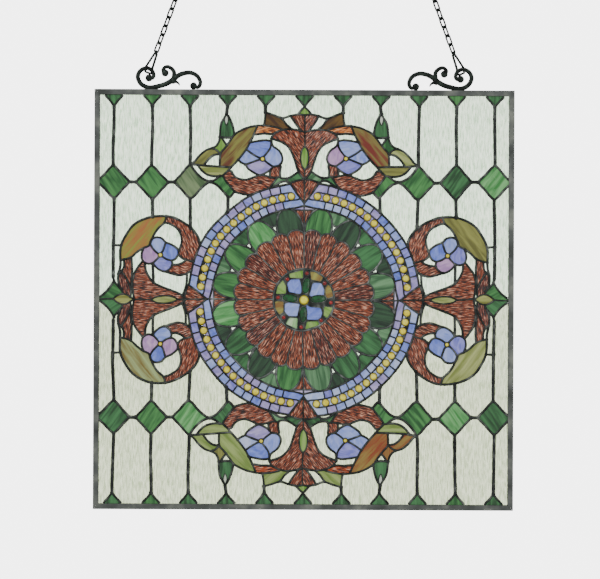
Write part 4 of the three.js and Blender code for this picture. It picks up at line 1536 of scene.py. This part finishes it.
plate_radius = 15
plate_thickness = 3
plate_sides = 32
hook_wire = 2.5
hook_wire_sides = 10
throat = 6.25
for side, name in ((-1, "left"), (1, "right")):
    low, high = (Vector(corner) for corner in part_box(f"ceiling_hook_{name}"))
    axis = Vector(((low.x + high.x) / 2, 0, high.z))
    fixing = bmesh.new()
    profile = ((0, 0), (plate_radius - 0.4, 0), (plate_radius, -0.4), (plate_radius, -1.6),
               (plate_radius - 1.4, -2.6), (5, -plate_thickness), (2.6, -plate_thickness - 1.2), (0, -4.4))
    rings = []
    for r, h in profile:
        if r == 0:
            rings.append([fixing.verts.new(axis + Vector((0, 0, h)) * millimetre)])
            continue
        rings.append([
            fixing.verts.new(axis + Vector((r * math.cos(a), r * math.sin(a), h)) * millimetre)
            for a in (2 * math.pi * i / plate_sides for i in range(plate_sides))
        ])
    skin(fixing, rings)
    bend_radius = (-low.z + high.z) / millimetre
    bend_middle = Vector((0, 0, -(bend_radius - throat - hook_wire / 2)))
    path = [Vector((0, 0, -2)), Vector((0, 0, -8))]
    for i in range(13):
        angle = math.pi * (1 - i / 8)
        path.append(bend_middle + Vector((0, throat * math.sin(angle), -throat * math.cos(angle))))
    tube_rings = []
    for i, p in enumerate(path):
        along = (path[min(i + 1, len(path) - 1)] - path[max(i - 1, 0)]).normalized()
        across = Vector((0, along.z, -along.y))
        row = []
        for s in range(hook_wire_sides):
            angle = 2 * math.pi * s / hook_wire_sides
            offset = (across * math.cos(angle) + Vector((1, 0, 0)) * math.sin(angle)) * hook_wire / 2
            row.append(fixing.verts.new(axis + (p + offset) * millimetre))
        tube_rings.append(row)
    skin(fixing, tube_rings)
    fitted = modelled(f"ceiling_fixing_{name}", fixing, bronze, smooth=False)
    finish_piece(fitted, "hook_bronze", f"ceiling_hook_{name}")


# Stage: a plain pale floor, soft studio light and a long lens looking straight at the panel.

floor_mesh = bpy.data.meshes.new("floor")
floor_reach = 2
floor_drop = 0.9
floor_z = panel_middle.z - half_panel * millimetre - floor_drop
floor_corners = [(x * floor_reach, y * floor_reach, floor_z) for x, y in sheet_corners[:4]]
floor_mesh.from_pydata(floor_corners, [], [(0, 1, 2, 3)])
floor = link_object("floor", floor_mesh)
floor_material, floor_tree, floor_shader = new_material("pale_floor")
set_inputs(floor_tree, floor_shader, {"Base Color": linear("#e9e9e6"), "Roughness": 0.8})
floor_mesh.materials.append(floor_material)

world = bpy.data.worlds.new("studio")
world.use_nodes = True
backdrop = world.node_tree.nodes["Background"]
backdrop.inputs["Color"].default_value = (1, 1, 1, 1)
rays = add_node(world.node_tree, "ShaderNodeLightPath")
seen = add_node(world.node_tree, "ShaderNodeMath",
                {0: rays.outputs["Is Camera Ray"], 1: rays.outputs["Is Transmission Ray"]},
                operation="MAXIMUM")
glow = add_node(world.node_tree, "ShaderNodeMath", {0: seen.outputs[0], 1: 2.0, 2: 0.8},
                operation="MULTIPLY_ADD")
glow = add_node(world.node_tree, "ShaderNodeMath",
                {0: rays.outputs["Is Camera Ray"], 1: 2.2, 2: glow.outputs[0]}, operation="MULTIPLY_ADD")
world.node_tree.links.new(glow.outputs[0], backdrop.inputs["Strength"])
bpy.context.scene.world = world


def soft_light(name, place, size, power):
    light = bpy.data.lights.new(name, "AREA")
    light.size = size
    light.energy = power
    lamp = link_object(name, light)
    lamp.location = panel_middle + Vector(place)
    lamp.rotation_euler = (-Vector(place)).to_track_quat("-Z", "Y").to_euler()


soft_light("key_softbox", (-0.9, -1.4, 1.3), 0.9, 12)
soft_light("fill_softbox", (1.2, -1.6, 0.2), 1.2, 5)

photo_width_px = 600
metres_per_px = 1.512 * millimetre
lens_distance = 3.2
film_width = 36
camera = bpy.data.cameras.new("camera")
camera.sensor_width = film_width
camera.lens = film_width * lens_distance / (photo_width_px * metres_per_px)
camera_object = link_object("camera", camera)
aim = on_panel(-5.7, 0, 15.6)
camera_object.location = aim + Vector((0, -lens_distance, 0))
photo_roll = math.radians(0.25)
camera_object.rotation_euler = (Matrix.Rotation(math.pi / 2, 3, "X")
                                @ Matrix.Rotation(photo_roll, 3, "Z")).to_euler()
bpy.context.scene.camera = camera_object
